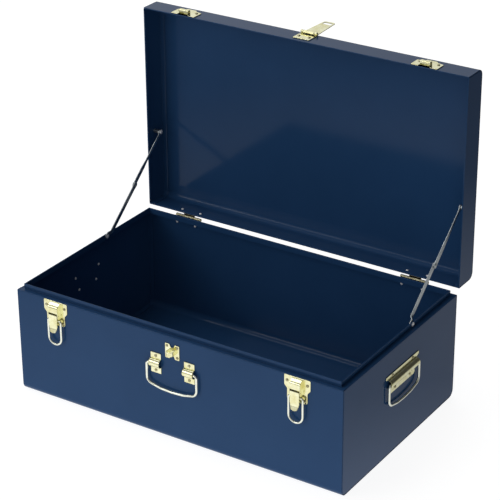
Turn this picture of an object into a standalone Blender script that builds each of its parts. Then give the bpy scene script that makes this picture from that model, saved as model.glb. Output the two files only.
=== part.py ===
"""A sheet-steel tool trunk standing open: base box, hinged lid, two folding stays, two draw latches,
a hasp with its staple, a front handle and two end handles.

Lengths are millimetres until a solid becomes a node. X is the length, -Y the front, Z up; the origin is the
centre of the underside. Everything on the lid is laid out as if the lid were shut, then turned open together.
"""

import math

import bmesh
import bpy
from mathutils import Matrix, Vector

MM = 0.001

# --- box and lid -------------------------------------------------------------------------------------------
LENGTH = 600.0
DEPTH = 356.0
SHEET = 1.0
LEDGE_Z = 183.0
LIP_INSET = 8.0
LIP_H = 9.0
HEM_H = 5.0
BASE_BEND = 12.0
EDGE_BEND = 1.5
FLANGE = 10.0
GAP = 0.3
LID_PROUD = 0.5
LID_H = 45.5
LID_BEND = 11.0
LID_HEM_H = 6.0

# --- hinges ------------------------------------------------------------------------------------------------
HINGE_FROM_END = 80.5
HINGE_OUT = 6.8
HINGE_UP = 2.0
HINGE_W = 50.0
KNUCKLE_W = 22.0
LEAF_T = 1.2
KNUCKLE_R = 2.5
PIN_R = 1.6
LEAF_H = 20.0
LEAF_BEND = 1.8
LEAF_RIVET_X = 18.5
LEAF_RIVET_DROP = 9.0

# --- stays: where the ends are, measured from the hinge line with the lid open, and the bars themselves ------
STAY_BASE_AHEAD, STAY_BASE_UP = 139.3, 3.0
STAY_LID_BEHIND, STAY_LID_UP = 18.2, 137.0
STAY_LOWER = 102.0
STAY_T = 1.5
STAY_HALF_W = 4.0
STAY_THIN_HALF_W = 2.4
STAY_END_R = 5.0
STAY_PIVOT_R = 2.2
STAY_COLLAR_R = 3.4
STAY_HEAD_R = 3.8
STAY_HEAD_H = 1.3
STAY_SIDE_GAP = 0.7
STAY_TAB, STAY_TAB_END = 6.0, 10.0
STAY_EYE = 7.0
LID_OPEN_DEG = 90.0

# --- latches: heights are measured from the fulcrum, which lies below the ledge ------------------------------
LATCH_FROM_END = 77.0
FULCRUM_OUT, FULCRUM_DROP = 5.5, 23.0
PLATE_T = 1.0
LATCH_W = 45.0
LATCH_WAIST = 35.0
LATCH_TOP = 22.6
LATCH_SHOULDER = 5.5
LATCH_BOTTOM = -18.5
LATCH_UPPER_RIVET = (17.5, 13.5)
LATCH_LOWER_RIVET = (13.2, -13.5)
HOOD_LIP, HOOD_BEND, HOOD_ROOT = 5.6, 16.0, 20.0
EAR_BOTTOM = -5.2
BAIL_PIVOT = -8.0
LEVER_W = 16.0
LEVER_OUT = 9.5
LEVER_TOP = 2.6
LEVER_KNEE = -22.0
LEVER_TIP = -28.0
LEVER_TIP_OUT = 2.2
LEVER_EYE_R = 3.4
LATCH_PIN_R = 1.5
LATCH_WIRE_R = 1.75
LATCH_BAIL_CLEAR = 2.9
LATCH_BAIL_BOTTOM = -51.2

# --- strikes: heights are measured from the lid's rim --------------------------------------------------------
STRIKE_W = 46.0
STRIKE_FOOT, STRIKE_MOUTH = 0.8, 5.0
STRIKE_HIGH = 25.5
STRIKE_RIVET = (16.5, 17.5)
CATCH_HALF = 9.0
CATCH_OUT = 7.2
CATCH_LOW, CATCH_HIGH = 3.5, 10.9
CATCH_LIP = 4.2

# --- hasp, measured from the lid's rim, and staple, measured from the ledge ----------------------------------
HASP_W = 30.0
HASP_T = 1.2
HASP_LOW = 6.5
HASP_PIVOT_OUT, HASP_PIVOT_UP = 3.3, 32.5
HASP_KNUCKLE_R = 2.4
HASP_GATE = 10.0
HASP_RIVET = (9.5, 16.5)
STRAP_LENGTH = 66.0
STRAP_SHOULDER, STRAP_HALF, STRAP_TIP_HALF = 3.6, 14.0, 10.6
STRAP_SLOT = 57.0
STRAP_SLOT_HALF = (7.8, 4.2)
STAPLE_DROP = 24.0
STAPLE_HALF = (13.0, 12.5)
STAPLE_NOTCH = (2.4, 5.0, 7.0)
STAPLE_RIVET = (9.4, 8.6)
STAPLE_LOOP_HALF = (5.6, 3.6)
STAPLE_OUT = 12.0

# --- handles: pivots are measured down from the ledge --------------------------------------------------------
WIRE_R = 2.0
BRACKET_X = 31.0
BRACKET_W = 19.0
BRACKET_H = 35.0
BRACKET_RIVET = 12.6
HANDLE_BELOW = 52.0
HANDLE_HALF = 46.0
HANDLE_DROP = 41.3
HANDLE_BOW = 7.0
HANDLE_CORNER = 11.0
LOOP_R = 6.8
WIRE_OUT = 4.6
END_HANDLE_BELOW = 55.0
END_HANDLE_HALF = 47.0
END_HANDLE_DROP = 42.0
END_WIRE_END = 20.0
END_PLATE_UP, END_PLATE_DOWN = 14.5, 19.0
END_PLATE_FOOT, END_PLATE_BARREL, END_PLATE_HEAD = 39.0, 44.3, 51.0
END_UPPER_RIVET = (31.5, 11.3)
END_LOWER_RIVET = (23.0, -13.2)

# --- rivets ------------------------------------------------------------------------------------------------
RIVET_HEAD_R = 2.6
RIVET_HEAD_H = 1.6
RIVET_SHANK_R = 1.3
RIVET_TAIL_R = 2.3
RIVET_TAIL_H = 1.2
RIVET_SIDES = 8

# --- places that follow from the sizes above -----------------------------------------------------------------
HALF_X, HALF_Y = LENGTH / 2, DEPTH / 2
LID_X, LID_Y = HALF_X + LID_PROUD, HALF_Y + LID_PROUD
LID_RIM = LEDGE_Z + LID_PROUD
LID_TOP = LID_RIM + LID_H
LIP_X, LIP_Y = HALF_X - LIP_INSET, HALF_Y - LIP_INSET
LIP_TOP = LEDGE_Z + LIP_H
HINGE = (HALF_Y + HINGE_OUT, LEDGE_Z + HINGE_UP)
HINGE_X = HALF_X - HINGE_FROM_END
LATCH_X = HALF_X - LATCH_FROM_END
FULCRUM = (-HALF_Y - FULCRUM_OUT, LEDGE_Z - FULCRUM_DROP)
BAIL_PIVOT_Z = FULCRUM[1] + BAIL_PIVOT
HASP_PIVOT = (-LID_Y - HASP_PIVOT_OUT, LID_RIM + HASP_PIVOT_UP)
STAPLE_Z = LEDGE_Z - STAPLE_DROP
HANDLE_Z = LEDGE_Z - HANDLE_BELOW
END_HANDLE_Z = LEDGE_Z - END_HANDLE_BELOW
STAY_BASE = (HINGE[0] - STAY_BASE_AHEAD, HINGE[1] + STAY_BASE_UP)
STAY_LID = (HINGE[0] + STAY_LID_BEHIND, HINGE[1] + STAY_LID_UP)
CUT_BEYOND = 4.0

OUT_FRONT = Vector((0, -1, 0))
OUT_BACK = Vector((0, 1, 0))
OUT_RIGHT = Vector((1, 0, 0))


# --- solids ------------------------------------------------------------------------------------------------
def solid(points, faces):
    """A work object from points and faces, with every closed body in it facing outward."""
    mesh = bpy.data.meshes.new("work")
    mesh.from_pydata([tuple(p) for p in points], [], faces)
    turned_out = bmesh.new()
    turned_out.from_mesh(mesh)
    bmesh.ops.recalc_face_normals(turned_out, faces=turned_out.faces)
    turned_out.to_mesh(mesh)
    turned_out.free()
    work = bpy.data.objects.new("work", mesh)
    bpy.context.scene.collection.objects.link(work)
    return work


def prism(outline, axis, low, high):
    """The closed outline swept from low to high along axis. Its two numbers are the other two axes, in order."""
    place = {
        "X": lambda a, b, t: (t, a, b),
        "Y": lambda a, b, t: (a, t, b),
        "Z": lambda a, b, t: (a, b, t),
    }[axis]
    count = len(outline)
    points = [place(a, b, t) for t in (low, high) for a, b in outline]
    sides = [(i, (i + 1) % count, (i + 1) % count + count, i + count) for i in range(count)]
    return solid(points, sides + [tuple(range(count)), tuple(range(count, 2 * count))])


def box(x, y, z):
    return prism([(x[0], y[0]), (x[1], y[0]), (x[1], y[1]), (x[0], y[1])], "Z", *z)


def rings_solid(rings):
    """Closed rings of equal count joined in order, the first and last filled."""
    count = len(rings[0])
    points = [p for ring in rings for p in ring]
    faces = [tuple(range(count)), tuple(range(len(points) - count, len(points)))]
    for r in range(len(rings) - 1):
        base = r * count
        faces += [
            (base + i, base + (i + 1) % count, base + count + (i + 1) % count, base + count + i)
            for i in range(count)
        ]
    return solid(points, faces)


def across(direction):
    """Two unit vectors square to direction and to each other."""
    side = direction.orthogonal().normalized()
    return side, direction.cross(side).normalized()


def turned(profile, at, direction, sides=RIVET_SIDES):
    """The profile of (radius, height) pairs turned about the line through at along direction."""
    u, v = across(direction)
    rings = [
        [
            Vector(at) + direction * height + (u * math.cos(a) + v * math.sin(a)) * radius
            for a in (2 * math.pi * (k + 0.5) / sides for k in range(sides))
        ]
        for radius, height in profile
    ]
    return rings_solid(rings)


def rod(start, end, radius, sides=RIVET_SIDES):
    line = Vector(end) - Vector(start)
    return turned([(radius, 0), (radius, line.length)], start, line.normalized(), sides)


def wire(path, radius, flat, sides=8):
    """A round wire along a path that lies in one plane; flat is that plane's normal."""
    path = [Vector(p) for p in path]
    rings = []
    for i, p in enumerate(path):
        before = (p - path[i - 1]).normalized() if i else None
        after = (path[i + 1] - p).normalized() if i + 1 < len(path) else None
        along = ((before or after) + (after or before)).normalized()
        stretch = 1 / along.dot(after or before)
        u = flat.cross(along).normalized()
        rings.append(
            [
                p + (u * math.cos(a) * stretch + flat * math.sin(a)) * radius
                for a in (2 * math.pi * (k + 0.5) / sides for k in range(sides))
            ]
        )
    return rings_solid(rings)


def joined(works):
    """One work object holding the bodies of several that don't touch."""
    points, faces = [], []
    for work in works:
        base = len(points)
        points += [v.co.copy() for v in work.data.vertices]
        faces += [tuple(base + i for i in f.vertices) for f in work.data.polygons]
        bpy.data.objects.remove(work, do_unlink=True)
    return solid(points, faces)


def combined(work, operation, others):
    """The exact Boolean of work with each of the others, which are used up."""
    for other in others:
        step = work.modifiers.new("combine", "BOOLEAN")
        step.operation, step.solver, step.object = operation, "EXACT", other
        graph = bpy.context.evaluated_depsgraph_get()
        made = bpy.data.meshes.new_from_object(work.evaluated_get(graph))
        work.modifiers.clear()
        work.data = made
        bpy.data.objects.remove(other, do_unlink=True)
    return work


def union(work, *others):
    return combined(work, "UNION", others)


def cut(work, *others):
    return combined(work, "DIFFERENCE", others)


def common(work, *others):
    return combined(work, "INTERSECT", others)


def mirrored(work):
    """A copy reflected across the middle plane of the length."""
    points = [(-v.co.x, v.co.y, v.co.z) for v in work.data.vertices]
    return solid(points, [tuple(f.vertices) for f in work.data.polygons])


def turned_about_x(work, degrees, y, z):
    spin = Matrix.Translation((0, y, z)) @ Matrix.Rotation(math.radians(degrees), 4, "X")
    work.data.transform(spin @ Matrix.Translation((0, -y, -z)))
    return work


# --- outlines ----------------------------------------------------------------------------------------------
def arc(centre, radius, start, end, steps):
    angles = (math.radians(start + (end - start) * k / steps) for k in range(steps + 1))
    return [(centre[0] + radius * math.cos(a), centre[1] + radius * math.sin(a)) for a in angles]


def rounded(corners, steps=3):
    """An open or closed run of (a, b, radius) corners, each corner replaced by an arc of that radius."""
    points = []
    for i, (a, b, radius) in enumerate(corners):
        if not radius:
            points.append((a, b))
            continue
        here = Vector((a, b))
        back = (Vector(corners[i - 1][:2]) - here).normalized()
        ahead = (Vector(corners[(i + 1) % len(corners)][:2]) - here).normalized()
        half = back.angle(ahead) / 2
        centre = here + (back + ahead).normalized() * (radius / math.sin(half))
        first = here + back * (radius / math.tan(half)) - centre
        last = here + ahead * (radius / math.tan(half)) - centre
        start, end = math.atan2(first.y, first.x), math.atan2(last.y, last.x)
        sweep = (end - start + math.pi) % (2 * math.pi) - math.pi
        for k in range(steps + 1):
            angle = start + sweep * k / steps
            points.append((centre.x + radius * math.cos(angle), centre.y + radius * math.sin(angle)))
    return points


def strip(path, thickness):
    """The closed outline of a bent sheet whose middle line is the open path."""
    path = [Vector(p) for p in path]
    left, right = [], []
    for i, p in enumerate(path):
        before = (p - path[i - 1]).normalized() if i else None
        after = (path[i + 1] - p).normalized() if i + 1 < len(path) else None
        along = ((before or after) + (after or before)).normalized()
        reach = thickness / 2 / along.dot(after or before)
        normal = Vector((-along.y, along.x)) * reach
        left.append(tuple(p + normal))
        right.append(tuple(p - normal))
    return left + right[::-1]


def halves(half_outline):
    """An outline from its half on the positive side, listed from bottom to top; corners may carry a radius."""
    return half_outline + [(-a, *rest) for a, *rest in reversed(half_outline)]


# --- rivets and nodes --------------------------------------------------------------------------------------
def rivet(at, out, grip):
    """A domed head on the plate's face at this point, a shank through the wall and a flat tail inside it.

    grip runs from the plate's face to the wall's inner face. The head's foot and the tail's edge are sunk or
    lifted a little, so no two faces coincide.
    """
    sunk = PLATE_T / 5
    tail = grip + GAP
    return turned(
        [
            (RIVET_HEAD_R * 0.3, RIVET_HEAD_H),
            (RIVET_HEAD_R * 0.78, RIVET_HEAD_H * 0.7),
            (RIVET_HEAD_R, -sunk),
            (RIVET_SHANK_R, -sunk),
            (RIVET_SHANK_R, -tail),
            (RIVET_TAIL_R, -tail),
            (RIVET_TAIL_R, -tail - RIVET_TAIL_H),
        ],
        at,
        out,
    )


def rivet_hole(at, out):
    """A cutter through a wall under a rivet, with clearance round its shank."""
    reach = 4 * SHEET
    return rod(Vector(at) - out * reach, Vector(at) + out * reach, RIVET_SHANK_R + GAP)


def riveted(plate, spots, out, grip):
    return union(plate, joined([rivet(at, out, grip) for at in spots]))


def shifted(spots, x):
    return [Vector((at[0] + x, at[1], at[2])) for at in spots]


lid_frame = None


def as_node(work, name, slot, origin, on_lid=False, at=None):
    """Turns a work object into a named node whose origin is at `origin`, and moves it to `at` if that is given."""
    origin = Vector(origin)
    work.data.transform(Matrix.Scale(MM, 4) @ Matrix.Translation(-origin))
    work.data.shade_smooth()
    work.data.set_sharp_from_angle(angle=math.radians(32))
    work.data.materials.clear()
    work.data.materials.append(slot)
    return placed(work, name, origin if at is None else Vector(at), on_lid)


def placed(work, name, at, on_lid):
    work.name = work.data.name = name
    if on_lid:
        work.parent = lid_frame
        at = Vector(at) - Vector((0, *HINGE))
    work.location = Vector(at) * MM
    return work


def copy_node(node, name, at, on_lid=False):
    """A second object that shares the node's mesh."""
    twin = bpy.data.objects.new(name, node.data)
    bpy.context.scene.collection.objects.link(twin)
    twin.name = name
    if on_lid:
        twin.parent = lid_frame
        at = Vector(at) - Vector((0, *HINGE))
    twin.location = Vector(at) * MM
    return twin


def material(name, colour, metallic, roughness):
    made = bpy.data.materials.new(name)
    made.use_nodes = True
    shader = made.node_tree.nodes["Principled BSDF"]
    shader.inputs["Base Color"].default_value = (*colour, 1)
    shader.inputs["Metallic"].default_value = metallic
    shader.inputs["Roughness"].default_value = roughness
    return made


# --- base box ----------------------------------------------------------------------------------------------
def base_wrap(holes):
    """Front wall, floor and back wall in one bent sheet, each top edge stepped in and hemmed outward."""
    inner_y, lip_in = HALF_Y - SHEET, LIP_Y - 2 * SHEET
    outside = (
        arc((HALF_Y - BASE_BEND, BASE_BEND), BASE_BEND, -90, 0, 5)
        + arc((HALF_Y - EDGE_BEND, LEDGE_Z - EDGE_BEND), EDGE_BEND, 0, 90, 2)
        + [(LIP_Y - SHEET, LEDGE_Z), (LIP_Y - SHEET, LIP_TOP - HEM_H), (LIP_Y, LIP_TOP - HEM_H)]
        + [(LIP_Y, LIP_TOP - SHEET / 2), (LIP_Y - SHEET / 2, LIP_TOP), (lip_in + SHEET / 2, LIP_TOP)]
    )
    inside = [
        (lip_in, LIP_TOP - SHEET / 2),
        (lip_in, LEDGE_Z - SHEET),
        (inner_y, LEDGE_Z - SHEET),
    ] + arc((HALF_Y - BASE_BEND, BASE_BEND), BASE_BEND - SHEET, 0, -90, 5)
    half = outside + inside
    left = [(-a, b) for a, b in half]
    outline = (
        [*reversed(left[: len(outside)]), *outside, *inside, *reversed(left[len(outside) :])]
    )
    wrap = prism(outline, "X", -HALF_X, HALF_X)
    over = SHEET
    corners = [
        box(
            sorted((side * LIP_X, side * (HALF_X + over))),
            sorted((face * (lip_in - over), face * (LIP_Y + over))),
            (LEDGE_Z, LIP_TOP + over),
        )
        for side in (-1, 1)
        for face in (-1, 1)
    ]
    return cut(wrap, joined(corners), joined(holes))


def pan(half_y, bottom, bend, top, x_face, flange):
    """A flat end with a flange bent inward along its rounded edge; the open side is trimmed at top."""
    beyond = 30 * SHEET

    def ring(inset, x):
        low = bottom + inset
        radius = bend - inset
        half = arc((half_y - inset - radius, low + radius), radius, -90, 0, 5)
        half.append((half_y - inset, top + beyond))
        return [Vector((x, a, b)) for a, b in halves(half)]

    shell = rings_solid(
        [
            ring(EDGE_BEND, x_face),
            ring(EDGE_BEND * 0.3, x_face - EDGE_BEND * 0.3),
            ring(0, x_face - EDGE_BEND),
            ring(0, x_face - flange),
            ring(SHEET, x_face - flange),
            ring(SHEET, x_face - SHEET),
        ]
    )
    reach = half_y + beyond
    return cut(shell, box((0, x_face + beyond), (-reach, reach), (top, top + 2 * beyond)))


def end_panel(holes):
    """The right end of the base: a flanged plate whose top edge steps in and is hemmed like the wrap's."""
    seat = SHEET + GAP
    end = pan(
        HALF_Y - seat, seat, BASE_BEND - seat, LEDGE_Z - SHEET - GAP, HALF_X, FLANGE
    )
    half_y = LIP_Y - 2 * SHEET - GAP
    lip_in = LIP_X - 2 * SHEET
    low = LEDGE_Z - 8 * SHEET
    step = [
        (HALF_X, low),
        *arc((HALF_X - EDGE_BEND, LEDGE_Z - EDGE_BEND), EDGE_BEND, 0, 90, 2),
        (LIP_X - SHEET, LEDGE_Z),
        (LIP_X - SHEET, LIP_TOP - HEM_H),
        (LIP_X, LIP_TOP - HEM_H),
        (LIP_X, LIP_TOP - SHEET / 2),
        (LIP_X - SHEET / 2, LIP_TOP),
        (lip_in + SHEET / 2, LIP_TOP),
        (lip_in, LIP_TOP - SHEET / 2),
        (lip_in, LEDGE_Z - SHEET),
        (HALF_X - SHEET, LEDGE_Z - SHEET),
        (HALF_X - SHEET, low),
    ]
    return cut(union(end, prism(step, "Y", -half_y, half_y)), joined(holes))


# --- lid ---------------------------------------------------------------------------------------------------
def lid_wrap(holes):
    """Front, top and back of the lid in one bent sheet, hemmed inward along the rims."""
    half = [(LID_Y, LID_RIM), *arc((LID_Y - LID_BEND, LID_TOP - LID_BEND), LID_BEND, 0, 90, 5)]
    inner = [
        (LID_Y - SHEET, LID_RIM),
        *arc((LID_Y - LID_BEND, LID_TOP - LID_BEND), LID_BEND - SHEET, 0, 90, 5),
    ]
    outline = half + [(-a, b) for a, b in reversed(half)] + [(-a, b) for a, b in inner] + inner[::-1]
    wrap = prism(outline, "X", -LID_X, LID_X)
    hem_x = LID_X - FLANGE - SHEET
    hems = [
        box(
            (-hem_x, hem_x),
            sorted((face * (LID_Y - 2 * SHEET), face * (LID_Y - SHEET / 2))),
            (LID_RIM, LID_RIM + LID_HEM_H),
        )
        for face in (-1, 1)
    ]
    return cut(union(wrap, *hems), joined(holes))


def lid_end():
    """The right end of the lid: a flanged plate, turned upside down from the base's, with a hemmed rim."""
    seat = SHEET + GAP
    end = pan(LID_Y - seat, -LID_TOP + seat, LID_BEND - seat, -LID_RIM, LID_X, FLANGE)
    end.data.transform(Matrix.Diagonal((1, 1, -1, 1)))
    end = joined([end])
    half_y = LID_Y - FLANGE - SHEET
    hem = box(
        (LID_X - 2 * SHEET, LID_X - SHEET / 2), (-half_y, half_y), (LID_RIM, LID_RIM + LID_HEM_H)
    )
    return union(end, hem)


# --- hinges ------------------------------------------------------------------------------------------------
def hinge_strip(leaf_y, up):
    """One leaf and its knuckle as a bent strip; up is -1 for the leaf below the pin and 1 for the one above."""
    y, z = HINGE
    turn_z = z + up * KNUCKLE_R
    path = rounded([(leaf_y, z + up * LEAF_H, 0), (leaf_y, turn_z, LEAF_BEND), (y, turn_z, 0)])
    curl = arc(HINGE, KNUCKLE_R, up * 90, -up * 180, 9)
    return strip(path + curl[1:], LEAF_T)


def hinge_spots(leaf_y, up):
    z = HINGE[1] + up * LEAF_RIVET_DROP
    return [(x, leaf_y + LEAF_T / 2, z) for x in (-LEAF_RIVET_X, LEAF_RIVET_X)]


BASE_LEAF_Y = HALF_Y + GAP + LEAF_T / 2
LID_LEAF_Y = LID_Y + GAP + LEAF_T / 2
LEAF_GRIP = LEAF_T + GAP + SHEET


def hinge_base_leaf():
    """The leaf under the pin, with the two outer knuckles."""
    half, gate = HINGE_W / 2, KNUCKLE_W / 2 + GAP
    leaf = prism(hinge_strip(BASE_LEAF_Y, -1), "X", -half, half)
    notch = box(
        (-gate, gate), (HALF_Y, HALF_Y + 4 * HINGE_OUT), (LEDGE_Z - 2 * LEAF_T, LEDGE_Z + 3 * HINGE_OUT)
    )
    return riveted(cut(leaf, notch), hinge_spots(BASE_LEAF_Y, -1), OUT_BACK, LEAF_GRIP)


def hinge_lid_leaf():
    """The leaf over the pin, with the middle knuckle."""
    half, gate = HINGE_W / 2, KNUCKLE_W / 2
    leaf = prism(hinge_strip(LID_LEAF_Y, 1), "X", -half, half)
    clear_z = 2 * HINGE[1] - (LEDGE_Z - 2 * LEAF_T)
    notches = [
        box(
            sorted((side * gate, side * (half + 1))),
            (HALF_Y, HALF_Y + 4 * HINGE_OUT),
            (LEDGE_Z - 3 * HINGE_OUT, clear_z),
        )
        for side in (-1, 1)
    ]
    return riveted(cut(leaf, joined(notches)), hinge_spots(LID_LEAF_Y, 1), OUT_BACK, LEAF_GRIP)


# --- stays -------------------------------------------------------------------------------------------------
def shut(point):
    """Where a point (y, z) of the open lid lies with the lid shut."""
    return (HINGE[0] - (point[1] - HINGE[1]), HINGE[1] + (point[0] - HINGE[0]))


def stay_middle():
    """The open stay is straight, so its middle pivot divides the line between its two ends."""
    base, lid = Vector(STAY_BASE), Vector(STAY_LID)
    return base + (lid - base).normalized() * STAY_LOWER


STAY_UPPER = (Vector(STAY_LID) - Vector(STAY_BASE)).length - STAY_LOWER
TAB_X = LIP_X - 2 * SHEET - GAP - STAY_T / 2
UPPER_X = TAB_X - STAY_T - STAY_SIDE_GAP
LOWER_X = UPPER_X - STAY_T - GAP


def stay_bar(length, bends, half_widths):
    """A flat bar from its pivot at the origin along +Y, offset in X as bends says, with rounded eyes."""
    side = prism([(x, y) for y, x in strip([(y, x) for y, x in bends], STAY_T)], "Z", -2 * STAY_END_R, 2 * STAY_END_R)
    near = arc((0, 0), STAY_END_R, 235, 125, 5)
    far = arc((length, 0), STAY_END_R, 55, -55, 5)
    top = [(y, w) for y, w in half_widths]
    face = near + top + far + [(y, -w) for y, w in reversed(top)]
    low = min(x for _, x in bends) - 2 * STAY_T
    high = max(x for _, x in bends) + 2 * STAY_T
    return common(side, prism(face, "X", low, high))


def stay_head(x, y, out):
    """Half of the middle rivet: a domed head standing on one arm's face."""
    profile = [(STAY_HEAD_R * 0.3, STAY_HEAD_H), (STAY_HEAD_R * 0.8, STAY_HEAD_H * 0.7), (STAY_HEAD_R, -GAP)]
    return turned(profile, (x, y, 0), OUT_RIGHT * out)


def stay_lower():
    """The arm pivoted on the base's lip: a tab against the lip, cranked inward, with the inner rivet head."""
    bends = [
        (-STAY_END_R - 1, TAB_X),
        (STAY_TAB, TAB_X),
        (STAY_TAB_END, LOWER_X),
        (STAY_LOWER + STAY_END_R + 1, LOWER_X),
    ]
    widths = [(STAY_TAB, STAY_HALF_W), (STAY_LOWER - STAY_EYE, STAY_HALF_W)]
    bar = stay_bar(STAY_LOWER, bends, widths)
    bar = union(bar, stay_head(LOWER_X - STAY_T / 2, STAY_LOWER, -1))
    bar = cut(bar, rod((TAB_X - CUT_BEYOND, 0, 0), (TAB_X + CUT_BEYOND, 0, 0), STAY_PIVOT_R + GAP, 12))
    run = stay_middle() - Vector(STAY_BASE)
    bar.data.transform(Matrix.Translation((0, *STAY_BASE)))
    return turned_about_x(bar, math.degrees(math.atan2(run.y, run.x)), *STAY_BASE)


def stay_upper():
    """The arm pivoted on the lid's stud: a straight bar, narrowing to its lid eye."""
    bends = [(-STAY_END_R - 1, UPPER_X), (STAY_UPPER + STAY_END_R + 1, UPPER_X)]
    widths = [
        (STAY_EYE + 1, STAY_THIN_HALF_W),
        (STAY_UPPER * 0.5, STAY_THIN_HALF_W),
        (STAY_UPPER * 0.68, STAY_HALF_W),
        (STAY_UPPER - STAY_EYE, STAY_HALF_W),
    ]
    bar = stay_bar(STAY_UPPER, bends, widths)
    bar = union(bar, stay_head(UPPER_X + STAY_T / 2, STAY_UPPER, 1))
    bar = cut(bar, rod((UPPER_X - CUT_BEYOND, 0, 0), (UPPER_X + CUT_BEYOND, 0, 0), STAY_PIVOT_R + GAP, 12))
    pivot, middle = shut(STAY_LID), shut(stay_middle())
    bar.data.transform(Matrix.Translation((0, *pivot)))
    degrees = math.degrees(math.atan2(middle[1] - pivot[1], middle[0] - pivot[0]))
    return turned_about_x(bar, degrees, *pivot)


def stay_base_rivet():
    """The rivet through the base's lip and the lower arm's eye, headed on both sides."""
    outer = LIP_X + GAP
    inner = TAB_X - STAY_T / 2 - GAP
    profile = [
        (STAY_HEAD_R * 0.34, outer + 1.4),
        (STAY_HEAD_R * 0.76, outer + 1.0),
        (STAY_HEAD_R * 0.92, outer),
        (STAY_PIVOT_R, outer),
        (STAY_PIVOT_R, inner),
        (STAY_HEAD_R * 0.95, inner),
        (STAY_HEAD_R * 0.79, inner - 0.8),
        (STAY_HEAD_R * 0.34, inner - 1.1),
    ]
    return turned(profile, (0, *STAY_BASE), OUT_RIGHT, 12)


def stay_lid_stud():
    """A stud on the inner face of the lid's end: a collar that spaces the upper arm, its pivot and a head."""
    root = LID_X - SHEET - GAP / 6
    outer = UPPER_X + STAY_T / 2 + GAP
    inner = UPPER_X - STAY_T / 2 - GAP
    profile = [
        (STAY_COLLAR_R, root),
        (STAY_COLLAR_R, outer),
        (STAY_PIVOT_R, outer),
        (STAY_PIVOT_R, inner),
        (STAY_HEAD_R, inner),
        (STAY_HEAD_R * 0.82, inner - 0.9),
        (STAY_HEAD_R * 0.34, inner - STAY_HEAD_H),
    ]
    return turned(profile, (0, *shut(STAY_LID)), OUT_RIGHT, 12)


# --- latches -----------------------------------------------------------------------------------------------
PLATE_FACE = -HALF_Y - GAP - PLATE_T
LID_PLATE_FACE = -LID_Y - GAP - PLATE_T
PLATE_GRIP = PLATE_T + GAP + SHEET
LATCH_SPOTS = [
    (side * x, PLATE_FACE, FULCRUM[1] + z)
    for x, z in (LATCH_UPPER_RIVET, LATCH_LOWER_RIVET)
    for side in (-1, 1)
]
LEVER_FACE = -HALF_Y - LEVER_OUT
EAR_IN = LEVER_W / 2 + GAP


def latch_plate():
    """A shouldered plate with a hood pressed out of its top and an ear each side for the lever's pin."""
    z = FULCRUM[1]
    outline = rounded(
        halves(
            [
                (LATCH_WAIST / 2, z + LATCH_BOTTOM, 4),
                (LATCH_WAIST / 2, z, 3),
                (LATCH_W / 2, z + LATCH_SHOULDER, 3),
                (LATCH_W / 2, z + LATCH_TOP, 1),
            ]
        )
    )
    plate = prism(outline, "Y", PLATE_FACE, PLATE_FACE + PLATE_T)
    sunk = PLATE_FACE + PLATE_T / 2
    hood_face = LEVER_FACE + PLATE_T / 2
    ear = rounded(
        [
            (sunk, z + EAR_BOTTOM, 0),
            (FULCRUM[0] - PLATE_T, z + EAR_BOTTOM, 1.5),
            (hood_face, z + EAR_BOTTOM + 2.8, 1.5),
            (hood_face, z + HOOD_BEND + PLATE_T / 2, 4),
            (sunk, z + HOOD_ROOT + PLATE_T / 2, 0),
        ]
    )
    hood_path = rounded(
        [
            (hood_face + PLATE_T / 2, z + HOOD_LIP, 0),
            (hood_face + PLATE_T / 2, z + HOOD_BEND, 3.5),
            (sunk, z + HOOD_ROOT, 0),
        ]
    )
    ears = [
        prism(ear, "X", *sorted((side * EAR_IN, side * (EAR_IN + PLATE_T)))) for side in (-1, 1)
    ]
    hood = prism(strip(hood_path, PLATE_T), "X", -EAR_IN - PLATE_T / 2, EAR_IN + PLATE_T / 2)
    plate = union(plate, *ears, hood)
    reach = EAR_IN + 2 * PLATE_T
    plate = cut(plate, rod((-reach, *FULCRUM), (reach, *FULCRUM), LATCH_PIN_R + GAP, 12))
    return riveted(plate, LATCH_SPOTS, OUT_FRONT, PLATE_GRIP)


def latch_lever():
    """A channel-shaped lever on the fulcrum pin, tapering to a tip turned outward."""
    half, z = LEVER_W / 2, FULCRUM[1]
    middle = LEVER_FACE + PLATE_T / 2
    knee, tip, root = z + LEVER_KNEE, z + LEVER_TIP, z + BAIL_PIVOT - 6.0
    path = [(middle, z + LEVER_TOP), (middle, knee), (middle - LEVER_TIP_OUT, tip)]
    web = prism(strip(path, PLATE_T), "X", -half, half)
    front = halves([(half * 0.55, tip - 1), (half - 1.5, knee + 0.5), (half, knee + 6), (half, z + 3)])
    web = common(web, prism(front, "Y", LEVER_FACE - LEVER_OUT, -HALF_Y - GAP))
    cheek = [
        (middle, knee + 3.5),
        (middle + 2.2, knee + 3.5),
        (FULCRUM[0] + LEVER_EYE_R - PLATE_T / 2, root),
        *arc(FULCRUM, LEVER_EYE_R, -20, 110, 5),
        (middle, z + 2.4),
    ]
    cheeks = [prism(cheek, "X", *sorted((side * (half - PLATE_T), side * half))) for side in (-1, 1)]
    lever = union(web, *cheeks)
    reach = half + PLATE_T
    pivot = (FULCRUM[0], BAIL_PIVOT_Z)
    pin_hole = rod((-reach, *FULCRUM), (reach, *FULCRUM), LATCH_PIN_R + GAP, 12)
    wire_hole = rod((-reach, *pivot), (reach, *pivot), LATCH_WIRE_R + GAP, 12)
    return cut(lever, pin_hole, wire_hole)


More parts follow.
